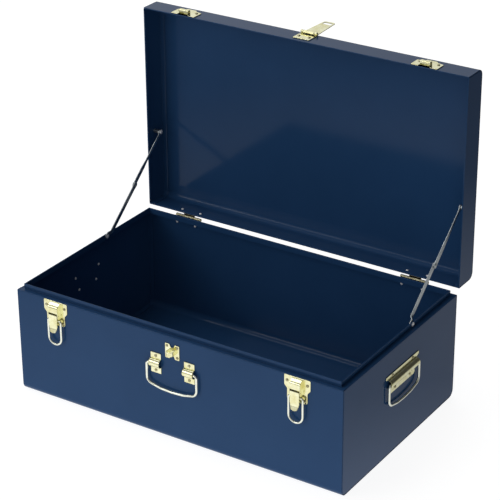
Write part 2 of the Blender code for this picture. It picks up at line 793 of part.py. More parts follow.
def latch_bail():
    """A wire loop whose ends turn inward through the lever's sides."""
    y, half = FULCRUM[0], EAR_IN + PLATE_T + LATCH_BAIL_CLEAR
    low = FULCRUM[1] + LATCH_BAIL_BOTTOM + half
    end = LEVER_W / 2 - PLATE_T - GAP
    side = rounded([(end, BAIL_PIVOT_Z, 0), (half, BAIL_PIVOT_Z, 2.4), (half, low, 0)])
    bottom = arc((0, low), half, 0, -180, 10)
    path = side[:-1] + bottom + [(-x, z) for x, z in reversed(side[:-1])]
    return wire([(x, y, z) for x, z in path], LATCH_WIRE_R, OUT_FRONT)


def latch_pin():
    reach = EAR_IN + PLATE_T + GAP
    return rod((-reach, *FULCRUM), (reach, *FULCRUM), LATCH_PIN_R, 12)


STRIKE_FOOT_Z = LID_RIM + STRIKE_RIVET[1]
STRIKE_SPOTS = [(side * STRIKE_RIVET[0], LID_PLATE_FACE, STRIKE_FOOT_Z) for side in (-1, 1)]


def strike():
    """A plate with a wing each side down to the rim and a hollow catch whose upper side holds the latch's loop.

    The catch is open toward the rim, but for a lip turned down in front.
    """
    foot, high = LID_RIM + STRIKE_FOOT, LID_RIM + STRIKE_HIGH
    outline = rounded(
        halves(
            [
                (CATCH_HALF + 0.6, LID_RIM + STRIKE_MOUTH, 0),
                (CATCH_HALF + 1.2, foot, 0.5),
                (STRIKE_W / 2, foot, 1.5),
                (STRIKE_W / 2, high - 3, 2),
                (CATCH_HALF + 2, high, 1),
                (CATCH_HALF, high + 4, 2),
            ]
        ),
        2,
    )
    plate = prism(outline, "Y", LID_PLATE_FACE, LID_PLATE_FACE + PLATE_T)
    face, top = LID_PLATE_FACE - CATCH_OUT, LID_RIM + CATCH_HIGH
    inner = CATCH_HALF - PLATE_T
    low = LID_RIM + CATCH_LOW
    catch = box((-CATCH_HALF, CATCH_HALF), (face, LID_PLATE_FACE + PLATE_T / 2), (low, top))
    hollow = box(
        (-inner, inner), (face + PLATE_T, LID_PLATE_FACE - GAP), (low + PLATE_T, top - PLATE_T)
    )
    mouth = box((-inner, inner), (face + CATCH_LIP, 0), (LID_RIM, LID_RIM + STRIKE_MOUTH))
    return riveted(union(plate, cut(catch, union(hollow, mouth))), STRIKE_SPOTS, OUT_FRONT, PLATE_GRIP)


# --- hasp and staple ---------------------------------------------------------------------------------------
HASP_FACE = HASP_PIVOT[0] + HASP_KNUCKLE_R - HASP_T / 2
HASP_GRIP = -LID_Y - HASP_FACE + SHEET
HASP_SPOTS = [(side * HASP_RIVET[0], HASP_FACE, LID_RIM + HASP_RIVET[1]) for side in (-1, 1)]


def hasp_bracket():
    """A plate on the lid's front whose two outer knuckles curl over the hasp's pin."""
    y, z = HASP_PIVOT
    path = [(y + HASP_KNUCKLE_R, LID_RIM + HASP_LOW), *arc(HASP_PIVOT, HASP_KNUCKLE_R, 0, 255, 9)]
    half = HASP_W / 2
    plate = prism(strip(path, HASP_T), "X", -half, half)
    reach = 2 * CUT_BEYOND
    gate = box((-HASP_GATE, HASP_GATE), (y - reach, y + reach), (z - HASP_KNUCKLE_R - 1.8, z + reach))
    return riveted(cut(plate, gate), HASP_SPOTS, OUT_FRONT, HASP_GRIP)


def hasp_strap():
    """The strap flipped back on its pin: a middle knuckle, a tapering tongue and a slot near its end."""
    y, z = HASP_PIVOT
    end = z + STRAP_LENGTH
    path = [(y + HASP_KNUCKLE_R, end), *arc(HASP_PIVOT, HASP_KNUCKLE_R, 0, -255, 9)]
    tongue = prism(strip(path, HASP_T), "X", -STRAP_HALF, STRAP_HALF)
    neck = HASP_GATE - GAP
    shoulder, tip = z + STRAP_SHOULDER, STRAP_TIP_HALF
    outline = halves(
        [(neck, z - 5), (neck, shoulder), (STRAP_HALF, shoulder), (STRAP_HALF - 0.4, z + 10), (tip, end - 5)]
        + arc((tip - 4, end - 5), 4.0, 0, 90, 3)
    )
    reach = 2 * CUT_BEYOND
    tongue = common(tongue, prism(outline, "Y", y - reach, y + reach))
    slot_z = z + STRAP_SLOT
    half_x, half_z = STRAP_SLOT_HALF
    slot = prism(halves([(half_x, slot_z - half_z), (half_x, slot_z + half_z)]), "Y", y - reach, y + reach)
    return cut(tongue, slot)


def hasp_pin():
    reach = HASP_W / 2
    return rod((-reach, *HASP_PIVOT), (reach, *HASP_PIVOT), HASP_KNUCKLE_R - HASP_T / 2 - GAP, 12)


STAPLE_SPOTS = [
    (across_x * STAPLE_RIVET[0], PLATE_FACE, STAPLE_Z + up * STAPLE_RIVET[1])
    for across_x in (-1, 1)
    for up in (-1, 1)
]


def staple():
    """A square plate notched above and below, with a loop standing out of its middle."""
    (half_x, half_z), z = STAPLE_HALF, STAPLE_Z
    root, mouth, deep = STAPLE_NOTCH
    outline = rounded(
        halves(
            [
                (root, z - deep, 0),
                (mouth, z - half_z, 0),
                (half_x, z - half_z, 1.5),
                (half_x, z + half_z, 1.5),
                (mouth, z + half_z, 0),
                (root, z + deep, 0),
            ]
        ),
        2,
    )
    plate = prism(outline, "Y", PLATE_FACE, PLATE_FACE + PLATE_T)
    out = -HALF_Y - STAPLE_OUT
    foot = PLATE_FACE + PLATE_T / 2
    wide, tall = STAPLE_LOOP_HALF
    crest = out + HASP_T / 2
    path = rounded([(-wide, foot, 0), (-wide, crest, 4.6), (wide, crest, 4.6), (wide, foot, 0)])
    loop = prism(strip(path, HASP_T), "Z", z - tall, z + tall)
    return riveted(union(plate, loop), STAPLE_SPOTS, OUT_FRONT, PLATE_GRIP)


# --- handles -----------------------------------------------------------------------------------------------
FRONT_WIRE_Y = -HALF_Y - WIRE_OUT
BRACKET_SPOTS = [(0, PLATE_FACE, HANDLE_Z + z) for z in (-BRACKET_RIVET, BRACKET_RIVET)]


def handle_bracket():
    """A plate pressed out into a half-round loop across its middle, for the front handle's wire."""
    half = BRACKET_H / 2
    middle = PLATE_FACE + PLATE_T / 2
    path = (
        [(middle, HANDLE_Z - half)]
        + arc((middle, HANDLE_Z), LOOP_R, 270, 90, 8)
        + [(middle, HANDLE_Z + half)]
    )
    plate = prism(strip(path, PLATE_T), "X", -BRACKET_W / 2, BRACKET_W / 2)
    return riveted(plate, BRACKET_SPOTS, OUT_FRONT, PLATE_GRIP)


def bowed(half, top, drop, end):
    """The path of a handle wire in its plane: in along the pivot line, down a leg and round a bowed grip."""
    low = top - drop
    right = rounded(
        [
            (end, top, 0),
            (half, top, 2 * WIRE_R),
            (half, low + HANDLE_BOW, HANDLE_CORNER),
            (half * 0.45, low + HANDLE_BOW * 0.16, 0),
        ],
        4,
    )
    return right + [(0, low)] + [(-a, b) for a, b in reversed(right)]


def front_bail():
    end = BRACKET_X - BRACKET_W / 2 + WIRE_R
    path = bowed(HANDLE_HALF, HANDLE_Z, HANDLE_DROP, end)
    return wire([(x, FRONT_WIRE_Y, z) for x, z in path], WIRE_R, OUT_FRONT)


END_FACE = HALF_X + GAP + PLATE_T
END_WIRE_X = HALF_X + WIRE_OUT
END_SPOTS = [
    (END_FACE, side * y, END_HANDLE_Z + z) for y, z in (END_UPPER_RIVET, END_LOWER_RIVET) for side in (-1, 1)
]


def end_plate():
    """A plate pressed out into a half-round barrel along its middle, for an end handle's wire."""
    middle = END_FACE - PLATE_T / 2
    z = END_HANDLE_Z
    low, high = z - END_PLATE_DOWN, z + END_PLATE_UP
    foot, barrel, head = END_PLATE_FOOT, END_PLATE_BARREL, END_PLATE_HEAD
    path = [(middle, low), *arc((middle, z), LOOP_R, -90, 90, 8), (middle, high)]
    plate = prism(strip(path, PLATE_T), "Y", -head, head)
    outline = halves(
        [(foot - 2, low - 1), (foot, low + 2), (foot, z - 10), (barrel, z - 8)]
        + [(barrel, z + 8.2), (head, z + 9.5), (head, high + 1)]
    )
    plate = common(plate, prism(outline, "X", HALF_X, HALF_X + 2 * LOOP_R))
    return riveted(plate, END_SPOTS, OUT_RIGHT, PLATE_GRIP)


def end_bail():
    """The wire of an end handle; its two ends meet inside the barrel with a gap between them."""
    path = bowed(END_HANDLE_HALF, END_HANDLE_Z, END_HANDLE_DROP, END_WIRE_END)
    return wire([(END_WIRE_X, y, z) for y, z in path], WIRE_R, OUT_RIGHT)


# --- assembly ----------------------------------------------------------------------------------------------
for item in list(bpy.data.objects):
    bpy.data.objects.remove(item, do_unlink=True)

paint = material("navy_paint", (0.025, 0.065, 0.14), 0.0, 0.35)
brass = material("brass_plate", (0.83, 0.74, 0.42), 1.0, 0.25)
steel = material("zinc_steel", (0.5, 0.52, 0.54), 1.0, 0.4)

lid_frame = bpy.data.objects.new("lid_frame", None)
bpy.context.scene.collection.objects.link(lid_frame)
lid_frame.location = Vector((0, *HINGE)) * MM
lid_frame.rotation_euler = (-math.radians(LID_OPEN_DEG), 0, 0)

hinge_holes = [
    rivet_hole(at, OUT_BACK)
    for x in (-HINGE_X, HINGE_X)
    for at in shifted(hinge_spots(BASE_LEAF_Y, -1), x)
]
front_holes = [
    rivet_hole(at, OUT_FRONT)
    for spots, places in (
        (LATCH_SPOTS, (-LATCH_X, LATCH_X)),
        (BRACKET_SPOTS, (-BRACKET_X, BRACKET_X)),
        (STAPLE_SPOTS, (0,)),
    )
    for x in places
    for at in shifted(spots, x)
]
as_node(base_wrap(hinge_holes + front_holes), "base_wrap", paint, (0, 0, 0))

lip_hole = rod((LIP_X - CUT_BEYOND, *STAY_BASE), (LIP_X + CUT_BEYOND, *STAY_BASE), STAY_PIVOT_R + GAP, 12)
right_end = end_panel([lip_hole] + [rivet_hole(at, OUT_RIGHT) for at in END_SPOTS])
left_end = mirrored(right_end)
as_node(right_end, "end_panel_right", paint, (HALF_X, 0, 0))
as_node(left_end, "end_panel_left", paint, (-HALF_X, 0, 0))

lid_hinge_holes = [
    rivet_hole(at, OUT_BACK)
    for x in (-HINGE_X, HINGE_X)
    for at in shifted(hinge_spots(LID_LEAF_Y, 1), x)
]
lid_front_holes = [
    rivet_hole(at, OUT_FRONT)
    for spots, places in ((STRIKE_SPOTS, (-LATCH_X, LATCH_X)), (HASP_SPOTS, (0,)))
    for x in places
    for at in shifted(spots, x)
]
axis_line = (0, *HINGE)
as_node(lid_wrap(lid_hinge_holes + lid_front_holes), "lid_wrap", paint, axis_line, on_lid=True)
right_cap = lid_end()
left_cap = mirrored(right_cap)
as_node(right_cap, "lid_end_right", paint, (LID_X, *HINGE), on_lid=True)
as_node(left_cap, "lid_end_left", paint, (-LID_X, *HINGE), on_lid=True)

right_hinge, left_hinge = (HINGE_X, *HINGE), (-HINGE_X, *HINGE)
base_leaf = as_node(hinge_base_leaf(), "hinge_base_leaf_right", brass, axis_line, at=right_hinge)
copy_node(base_leaf, "hinge_base_leaf_left", left_hinge)
lid_leaf = as_node(
    hinge_lid_leaf(), "hinge_lid_leaf_right", brass, axis_line, on_lid=True, at=right_hinge
)
copy_node(lid_leaf, "hinge_lid_leaf_left", left_hinge, on_lid=True)
half_pin = HINGE_W / 2
hinge_rod = rod((-half_pin, *HINGE), (half_pin, *HINGE), PIN_R, 12)
hinge_pin = as_node(hinge_rod, "hinge_pin_right", brass, axis_line, at=right_hinge)
copy_node(hinge_pin, "hinge_pin_left", left_hinge)

lid_pivot = shut(STAY_LID)
for build, name, pivot, on_lid in (
    (stay_lower, "stay_lower", STAY_BASE, False),
    (stay_base_rivet, "stay_base_rivet", STAY_BASE, False),
    (stay_upper, "stay_upper", lid_pivot, True),
    (stay_lid_stud, "stay_lid_stud", lid_pivot, True),
):
    right = build()
    left = mirrored(right)
    as_node(right, name + "_right", steel, (TAB_X, *pivot), on_lid)
    as_node(left, name + "_left", steel, (-TAB_X, *pivot), on_lid)

for build, name, pivot in (
    (latch_plate, "latch_plate", (PLATE_FACE, FULCRUM[1])),
    (latch_lever, "latch_lever", FULCRUM),
    (latch_bail, "latch_bail", (FULCRUM[0], BAIL_PIVOT_Z)),
    (latch_pin, "latch_pin", FULCRUM),
):
    made = as_node(build(), name + "_right", brass, (0, *pivot), at=(LATCH_X, *pivot))
    copy_node(made, name + "_left", (-LATCH_X, *pivot))

strike_foot = (LID_PLATE_FACE, STRIKE_FOOT_Z)
made = as_node(
    strike(), "strike_right", brass, (0, *strike_foot), on_lid=True, at=(LATCH_X, *strike_foot)
)
copy_node(made, "strike_left", (-LATCH_X, *strike_foot), on_lid=True)

hasp_axis = (0, *HASP_PIVOT)
as_node(hasp_bracket(), "hasp_bracket", brass, hasp_axis, on_lid=True)
as_node(hasp_strap(), "hasp_strap", brass, hasp_axis, on_lid=True)
as_node(hasp_pin(), "hasp_pin", brass, hasp_axis, on_lid=True)
as_node(staple(), "staple", brass, (0, PLATE_FACE, STAPLE_Z))

bracket_foot = (PLATE_FACE, HANDLE_Z)
made = as_node(
    handle_bracket(), "handle_bracket_right", brass, (0, *bracket_foot), at=(BRACKET_X, *bracket_foot)
)
copy_node(made, "handle_bracket_left", (-BRACKET_X, *bracket_foot))
as_node(front_bail(), "front_bail", brass, (0, FRONT_WIRE_Y, HANDLE_Z))

for build, name, x in ((end_plate, "end_plate", END_FACE), (end_bail, "end_bail", END_WIRE_X)):
    right = build()
    left = mirrored(right)
    as_node(right, name + "_right", brass, (x, 0, END_HANDLE_Z))
    as_node(left, name + "_left", brass, (-x, 0, END_HANDLE_Z))
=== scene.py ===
# %% [markdown]
# # A sheet-steel tool trunk, standing open
# The trunk is folded from thin painted steel: one long bent sheet makes the front, floor and back, and two
# flanged ends close it. The lid is made the same way. Brass-plated fittings are riveted on afterwards.
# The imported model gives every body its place, so this script only dresses that frame: it never moves it.

# %% Load the frame
import math

import bmesh
import bpy
import numpy as np
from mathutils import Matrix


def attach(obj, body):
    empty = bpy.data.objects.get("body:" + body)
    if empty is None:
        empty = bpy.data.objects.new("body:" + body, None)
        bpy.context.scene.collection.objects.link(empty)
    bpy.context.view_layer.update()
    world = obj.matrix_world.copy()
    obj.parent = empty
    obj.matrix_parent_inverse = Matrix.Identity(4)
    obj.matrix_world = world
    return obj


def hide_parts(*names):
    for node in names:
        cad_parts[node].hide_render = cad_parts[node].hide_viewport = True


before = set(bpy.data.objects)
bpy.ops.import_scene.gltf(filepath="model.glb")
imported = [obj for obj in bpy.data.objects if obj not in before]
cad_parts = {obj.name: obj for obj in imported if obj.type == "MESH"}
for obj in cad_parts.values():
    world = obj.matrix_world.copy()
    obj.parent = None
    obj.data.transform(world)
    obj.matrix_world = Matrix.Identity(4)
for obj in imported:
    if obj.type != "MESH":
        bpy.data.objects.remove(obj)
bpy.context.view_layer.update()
MM = 0.001

# %% [markdown]
# ## Sizes
# Millimetres, in the frame's own axes: X is the length, -Y the front, Z up, and the origin is the centre of
# the underside. Lid pieces are laid out with the lid shut, because that is how a maker draws them, and then
# swung open about the hinge line.

# %% Sizes shared by the pieces
HALF_X, HALF_Y, SHEET, LEDGE_Z = 300.0, 178.0, 1.0, 183.0
LIP_X, LIP_Y, LIP_TOP, HEM_H = 292.0, 170.0, 192.0, 5.0
BASE_BEND, LID_BEND, EDGE_BEND, FLANGE = 12.0, 11.0, 1.5, 10.0
HINGE_Y, HINGE_Z, HINGE_X = 184.8, 185.0, 219.5
LID_X, LID_Y, LID_RIM, LID_TOP, LID_HEM_H = 300.5, 178.5, 183.5, 229.0, 6.0
PLATE_T, GAP = 1.0, 0.3
PLATE_FACE = -HALF_Y - GAP - PLATE_T
LID_PLATE_FACE = -LID_Y - GAP - PLATE_T
LATCH_X, FULCRUM_Y, FULCRUM_Z, LOOP_Z = 223.0, -183.5, 160.0, 152.0
HASP_Y, HASP_Z, HASP_R = -181.8, 216.0, 2.4
STAPLE_Z = 159.0
HANDLE_Z, END_HANDLE_Z, WIRE_R, WIRE_OUT, BARREL_R = 131.0, 128.0, 2.0, 4.6, 6.8
STAY_BASE, STAY_LID, STAY_LOWER = (45.5, 188.0), (203.0, 322.0), 102.0

# %% [markdown]
# ## Outlines
# Every sheet part starts as a flat outline or a bent middle line. Real sheet never has a sharp corner, so
# corners become arcs, and a support point is kept beside each arc so that flat faces stay flat in the light.

# %% Outline helpers
def arc(centre, radius, start, end, steps):
    """Points at a steady angle step round a centre: centre plus radius times (cosine, sine)."""
    a = np.radians(np.linspace(start, end, steps + 1))
    return np.stack([centre[0] + radius * np.cos(a), centre[1] + radius * np.sin(a)], -1)


def rounded(corners, steps=6):
    """Each (a, b, radius) corner becomes an arc that touches both its sides: the centre lies on the corner's
    bisector, at the radius over the sine of the half angle."""
    runs = []
    for i, (a, b, radius) in enumerate(corners):
        here = np.array((a, b), float)
        if not radius:
            runs.append(here[None])
            continue
        back = np.array(corners[i - 1][:2]) - here
        ahead = np.array(corners[(i + 1) % len(corners)][:2]) - here
        back, ahead = back / np.hypot(*back), ahead / np.hypot(*ahead)
        half = math.acos(float(np.clip(back @ ahead, -1, 1))) / 2
        middle = back + ahead
        centre = here + middle / np.hypot(*middle) * radius / math.sin(half)
        first, last = here + back * radius / math.tan(half), here + ahead * radius / math.tan(half)
        start, end = (math.atan2(*(p - centre)[::-1]) for p in (first, last))
        sweep = (end - start + math.pi) % (2 * math.pi) - math.pi
        runs.append(arc(centre, radius, math.degrees(start), math.degrees(start + sweep), steps))
    return np.concatenate(runs)


def halves(half):
    """A symmetric outline from its positive half, listed bottom to top."""
    return list(half) + [(-a, *rest) for a, *rest in reversed(list(half))]


def normals(points, closed):
    """The mitred side vector at each point: the mean of the two neighbouring segments' left normals, divided
    by one plus their dot product, so that an offset keeps its distance from both segments."""
    p = np.asarray(points, float)
    step = np.roll(p, -1, 0) - p
    if not closed:
        step[-1] = step[-2]
    step /= np.maximum(np.linalg.norm(step, axis=1, keepdims=True), 1e-9)
    left = np.stack([-step[:, 1], step[:, 0]], -1)
    before = np.roll(left, 1, 0)
    if not closed:
        before[0] = left[0]
    return (left + before) / np.maximum(1 + np.sum(left * before, 1, keepdims=True), 0.25)


def supported(points, reach=0.5, closed=True):
    """Adds a point near each end of every long side, at a fixed reach from its ends."""
    p = np.asarray(points, float)
    step = np.roll(p, -1, 0) - p
    length = np.linalg.norm(step, axis=1)
    near = p + step * (reach / np.maximum(length, 1e-9))[:, None]
    far = p + step * (1 - reach / np.maximum(length, 1e-9))[:, None]
    keep = length > 3 * reach
    if not closed:
        keep[-1] = False
    stack = np.stack([p, near, far], 1).reshape(-1, 2)
    return stack[np.stack([np.ones_like(keep), keep, keep], -1).reshape(-1)]


def sheet_line(path, thick=SHEET):
    """The closed outline round a bent middle line: the line moved half a thickness to each side."""
    p = np.asarray(path, float)
    side = normals(p, False) * thick / 2
    return np.concatenate([p + side, (p - side)[::-1]])


# %% [markdown]
# ## Surfaces
# A pressed plate is its outline pushed through the sheet's thickness with softened edges. A bent strap is a
# flat cross section carried along its middle line. A wire is a circle carried along a line, and a rivet is a
# profile turned about its axis. Each is one grid of points made by a single formula.

# %% Surface helpers
def grid_faces(rows, cols, wrap):
    """Quads between neighbouring rows and columns of a grid, the last column joined to the first if wrap."""
    i = np.arange(rows - 1)[:, None] * cols
    j = np.arange(cols if wrap else cols - 1)[None]
    k = (j + 1) % cols
    return np.stack([i + j, i + k, i + cols + k, i + cols + j], -1).reshape(-1, 4).tolist()


def loft(rings, wrap=True, caps=True):
    """A skin over rings of equal count; the first and last ring are filled when caps is set."""
    rings = np.asarray(rings, float)
    rows, cols = rings.shape[:2]
    faces = grid_faces(rows, cols, wrap)
    if caps:
        faces += [list(range(cols))[::-1], list(range((rows - 1) * cols, rows * cols))]
    return rings.reshape(-1, 3), faces


def lay(ab, axis, t):
    """Puts flat points (a, b) at depth t along an axis; a and b are the other two axes in order."""
    ab = np.asarray(ab, float)
    t = np.broadcast_to(np.asarray(t, float), ab.shape[:-1])
    order = {"X": (t, ab[..., 0], ab[..., 1]), "Y": (ab[..., 0], t, ab[..., 1])}
    return np.stack(order.get(axis, (ab[..., 0], ab[..., 1], t)), -1)


def slab(outline, axis, low, high, soft=0.3):
    """A plate: the outline drawn in by soft at each face and swelling to full size over a quarter circle, so
    depth is soft times (1 - cosine) and the inset is soft times (1 - sine)."""
    outline = supported(outline)
    area = np.sum(outline[:, 0] * np.roll(outline[:, 1], -1) - outline[:, 1] * np.roll(outline[:, 0], -1))
    inward = normals(outline, True) * np.sign(area)
    phi = np.radians([0, 30, 60, 90])
    inset = np.concatenate([[soft + 0.25], soft * (1 - np.sin(phi)), [0.0]])
    depth = np.concatenate([[0.0], soft * (1 - np.cos(phi)), [soft + 0.3]])
    inset, depth = np.concatenate([inset, inset[::-1]]), np.concatenate([low + depth, high - depth[::-1]])
    flat = outline[None] + inward[None] * inset[:, None, None]
    return loft(lay(flat, axis, depth[:, None]))


def ribbon(path, half, thick, axis, soft=0.3):
    """A strap: a rounded rectangle, half wide each way along axis and thick across, carried along the path.
    Its two end rings shrink by soft, so the ends are eased too."""
    p = np.asarray(path, float)
    half = np.broadcast_to(np.asarray(half, float), p.shape[:1])
    start, end = p[1] - p[0], p[-2] - p[-1]
    start, end = start / np.hypot(*start), end / np.hypot(*end)
    ease = np.array([0.0, 0.3, 1.0])[:, None] * soft
    line = np.concatenate([p[0] + start * ease, p[1:-1], (p[-1] + end * ease)[::-1]])
    shrink = np.concatenate([[soft, 0.3 * soft, 0], np.zeros(len(p) - 2), [0, 0.3 * soft, soft]])
    width = np.concatenate([half[[0, 0, 0]], half[1:-1], half[[-1, -1, -1]]]) - shrink
    eased = np.concatenate([p[:1], p[:1] + start * soft, p[1:-1], p[-1:] + end * soft, p[-1:]])
    side = normals(eased, False)
    side = np.concatenate([side[:1], side[:1], side[1:-1], side[-1:], side[-1:]])
    t = thick / 2 - shrink
    r = min(soft, thick / 2 * 0.8)
    phi = np.radians([0, 45, 90])
    cw, cn = np.concatenate([r * np.cos(phi) - r, [-r - 0.3]]), np.concatenate([r * np.sin(phi) - r, [0.0]])
    quarter_w, quarter_n = width[:, None] + cw, t[:, None] + cn
    w = np.concatenate([quarter_w, -quarter_w[:, ::-1], -quarter_w, quarter_w[:, ::-1]], 1)
    n = np.concatenate([quarter_n, quarter_n[:, ::-1], -quarter_n, -quarter_n[:, ::-1]], 1)
    flat = line[:, None] + side[:, None] * n[..., None]
    return loft(lay(flat, axis, w))


def tube(path, radius, flat, sides=20):
    """A wire: a circle in the plane of the path's own normal and the flat vector, carried along the path. The
    ends close over a quarter sphere flattened to a third."""
    p = np.asarray(path, float)
    flat = np.asarray(flat, float)
    along = np.gradient(p, axis=0)
    along /= np.linalg.norm(along, axis=1, keepdims=True)
    u = np.cross(flat, along)
    a = np.linspace(0, 2 * np.pi, sides, endpoint=False)
    ends = np.array([0.35, 0.72, 0.94])
    lift = radius / 3 * np.sqrt(1 - ends**2)
    centre = np.concatenate([p[0] - along[0] * lift[:, None], p, (p[-1] + along[-1] * lift[:, None])[::-1]])
    size = radius * np.concatenate([ends, np.ones(len(p)), ends[::-1]])
    u = np.concatenate([u[[0, 0, 0]], u, u[[-1, -1, -1]]])
    ring = u[:, None] * np.cos(a)[None, :, None] + flat[None, None] * np.sin(a)[None, :, None]
    return loft(centre[:, None] + ring * size[:, None, None])


def turned(profile, at, direction, sides=24):
    """A profile of (radius, height) pairs turned about the line through at along direction."""
    d = np.asarray(direction, float)
    u = np.cross(d, (0.0, 0.0, 1.0) if abs(d[2]) < 0.9 else (1.0, 0.0, 0.0))
    u /= np.linalg.norm(u)
    v = np.cross(d, u)
    a = np.linspace(0, 2 * np.pi, sides, endpoint=False)
    around = u * np.cos(a)[:, None] + v * np.sin(a)[:, None]
    profile = np.asarray(profile, float)
    return loft(np.asarray(at, float) + profile[:, 1, None, None] * d + profile[:, 0, None, None] * around)


def dome(radius, height, foot=0.2):
    """Half an ellipse as a (radius, height) profile, with a short foot sunk into the plate."""
    phi = np.radians(np.linspace(84, 0, 7))
    return [*zip(radius * np.cos(phi), height * np.sin(phi)), (radius, -foot)]


def rivet(at, out, grip, radius=2.6, height=1.5):
    """A domed head outside, and a smaller domed tail inside at the far end of the grip."""
    inside = np.array(at, float) - np.array(out, float) * grip
    tail = turned(dome(2.35, 1.35, 0.0), inside, -np.array(out, float))
    # The tail takes the nearly white finish: a painted highlight that makes it a bright dot.
    return [(*turned(dome(radius, height), at, out), RIVET), (*tail, GLINT_WHITE)]


def rod(half, radius, tip, soft, at):
    """A pin along X: a turned profile that narrows from its radius to tip over the last soft millimetres."""
    ends = [(tip, -half), (radius, -half + soft), (radius, half - soft), (tip, half)]
    return turned(ends, at, RIGHT, 16)


FRONT, BACK, RIGHT, LEFT = (0, -1, 0), (0, 1, 0), (1, 0, 0), (-1, 0, 0)
PLATE_GRIP = PLATE_T + 2 * GAP + SHEET

# %% [markdown]
# ## Finishes
# The body has one coat of glossy navy powder paint: it levels out while it bakes, which leaves a faint orange
# peel and rounds off the edges. The fittings are stamped steel with a thin, pale brass plating that keeps the
# rolling lines of the strip. The stays are plain zinc-plated steel.
# The hinges take a darker brass as painted shade, and the rivet tails a nearly white, hardly metallic colour
# as painted highlight.

# %% Material helpers
def shader_of(name):
    """A new material and its nodes, links and surface shader."""
    made = bpy.data.materials.new(name)
    made.use_nodes = True
    return made, made.node_tree.nodes, made.node_tree.links, made.node_tree.nodes["Principled BSDF"]


def noise(nodes, links, scale, detail, rough=0.5, stretch=None):
    """Noise in object space, optionally stretched along one axis for rolling lines."""
    coords = nodes.new("ShaderNodeTexCoord")
    source = coords.outputs["Object"]
    if stretch:
        mapping = nodes.new("ShaderNodeMapping")
        mapping.inputs["Scale"].default_value = stretch
        links.new(source, mapping.inputs["Vector"])
        source = mapping.outputs["Vector"]
    tex = nodes.new("ShaderNodeTexNoise")
    tex.inputs["Scale"].default_value = scale
    tex.inputs["Detail"].default_value = detail
    tex.inputs["Roughness"].default_value = rough
    links.new(source, tex.inputs["Vector"])
    return tex.outputs["Fac"]


def ranged(nodes, links, source, low, high, to_low, to_high):
    """A straight map of source from low..high to to_low..to_high, held at the ends."""
    span = nodes.new("ShaderNodeMapRange")
    for key, value in zip(("From Min", "From Max", "To Min", "To Max"), (low, high, to_low, to_high)):
        span.inputs[key].default_value = value
    links.new(source, span.inputs["Value"])
    return span.outputs["Result"]


def mixed(nodes, links, factor, dark, light):
    """A colour between dark and light by factor."""
    mix = nodes.new("ShaderNodeMix")
    mix.data_type = "RGBA"
    mix.inputs[6].default_value = (*dark, 1)
    mix.inputs[7].default_value = (*light, 1)
    links.new(factor, mix.inputs["Factor"])
    return mix.outputs[2]


def bumps(nodes, links, shader, layers):
    """Bump maps in a row, each (height, distance in metres, strength) laid over the last."""
    normal = None
    for height, distance, strength in layers:
        bump = nodes.new("ShaderNodeBump")
        bump.inputs["Distance"].default_value = distance
        bump.inputs["Strength"].default_value = strength
        links.new(height, bump.inputs["Height"])
        if normal:
            links.new(normal, bump.inputs["Normal"])
        normal = bump.outputs["Normal"]
    links.new(normal, shader.inputs["Normal"])


def paint(name, dark, light, rough):
    """Glossy powder paint: a low waviness from the sheet, orange peel at about 1.5 mm, and faint wiping marks
    that change the gloss but hardly the colour."""
    made, nodes, links, shader = shader_of(name)
    wave = noise(nodes, links, 4, 1.5)
    peel = noise(nodes, links, 600, 2)
    wiped = noise(nodes, links, 9, 4, 0.6)
    tint = ranged(nodes, links, wiped, 0.3, 0.7, 0, 1)
    links.new(mixed(nodes, links, tint, dark, light), shader.inputs["Base Color"])
    links.new(ranged(nodes, links, wiped, 0.3, 0.75, rough * 0.85, rough * 1.25), shader.inputs["Roughness"])
    shader.inputs["IOR"].default_value = 1.21
    bumps(nodes, links, shader, [(wave, 0.006, 0.12), (peel, 0.00003, 0.3)])
    return made


def plated(name, dark, light, rough, line_scale=(1, 1, 1), metal=1.0, grain=1.0):
    """Plated stamping: rolling lines and small stains change its tint and gloss."""
    made, nodes, links, shader = shader_of(name)
    lines = noise(nodes, links, 420, 3, 0.6, line_scale)
    stain = noise(nodes, links, 90, 4, 0.6)
    tint = ranged(nodes, links, stain, 0.35, 0.7, 0, 1)
    links.new(mixed(nodes, links, tint, light, dark), shader.inputs["Base Color"])
    links.new(ranged(nodes, links, lines, 0.3, 0.7, rough * 0.7, rough * 1.5), shader.inputs["Roughness"])
    shader.inputs["Metallic"].default_value = metal
    bumps(nodes, links, shader, [(stain, 0.0005, 0.2 * grain), (lines, 0.00005, 0.4 * grain)])
    return made


NAVY = paint("navy_paint", (0.0180, 0.0590, 0.150), (0.0205, 0.0650, 0.164), 0.11)
BRASS = plated("brass_plate", (0.76, 0.71, 0.36), (0.91, 0.90, 0.61), 0.17, (1, 1, 0.08))
RIVET = plated("rivet_heads", (0.34, 0.30, 0.17), (0.52, 0.48, 0.30), 0.3)
WIRE = plated("brass_wire", (0.80, 0.81, 0.67), (0.90, 0.92, 0.81), 0.15, (0.2, 0.2, 1))
# Much darker than the other fittings: painted shade for the shadow and dark reflections in the gap behind the
# lid.
SHADED_HINGE_BRASS = plated("hinge_brass_painted_shade", (0.26, 0.24, 0.15), (0.42, 0.39, 0.25), 0.25, (0.1, 1, 1))
ZINC = plated("zinc_steel", (0.36, 0.39, 0.40), (0.50, 0.54, 0.55), 0.32, metal=0.95, grain=0.25)
# Nearly white and hardly metallic, so these rivets look bright wherever they are: a painted highlight
# standing in for the glint of plated domes.
GLINT_WHITE = plated("rivet_tails_painted_glint", (0.88, 0.89, 0.91), (0.96, 0.96, 0.97), 0.2, metal=0.05)


# %% [markdown]
# ## Making a piece
# A fitting is several closed surfaces in one object, because a stamped part, its rivets' heads and their
# tails don't share a skin or a finish. The lid's pieces are turned open here, about the hinge line, so that
# every object keeps its origin at the frame's origin. Sharp edges stay crisp, and the rest are smooth.

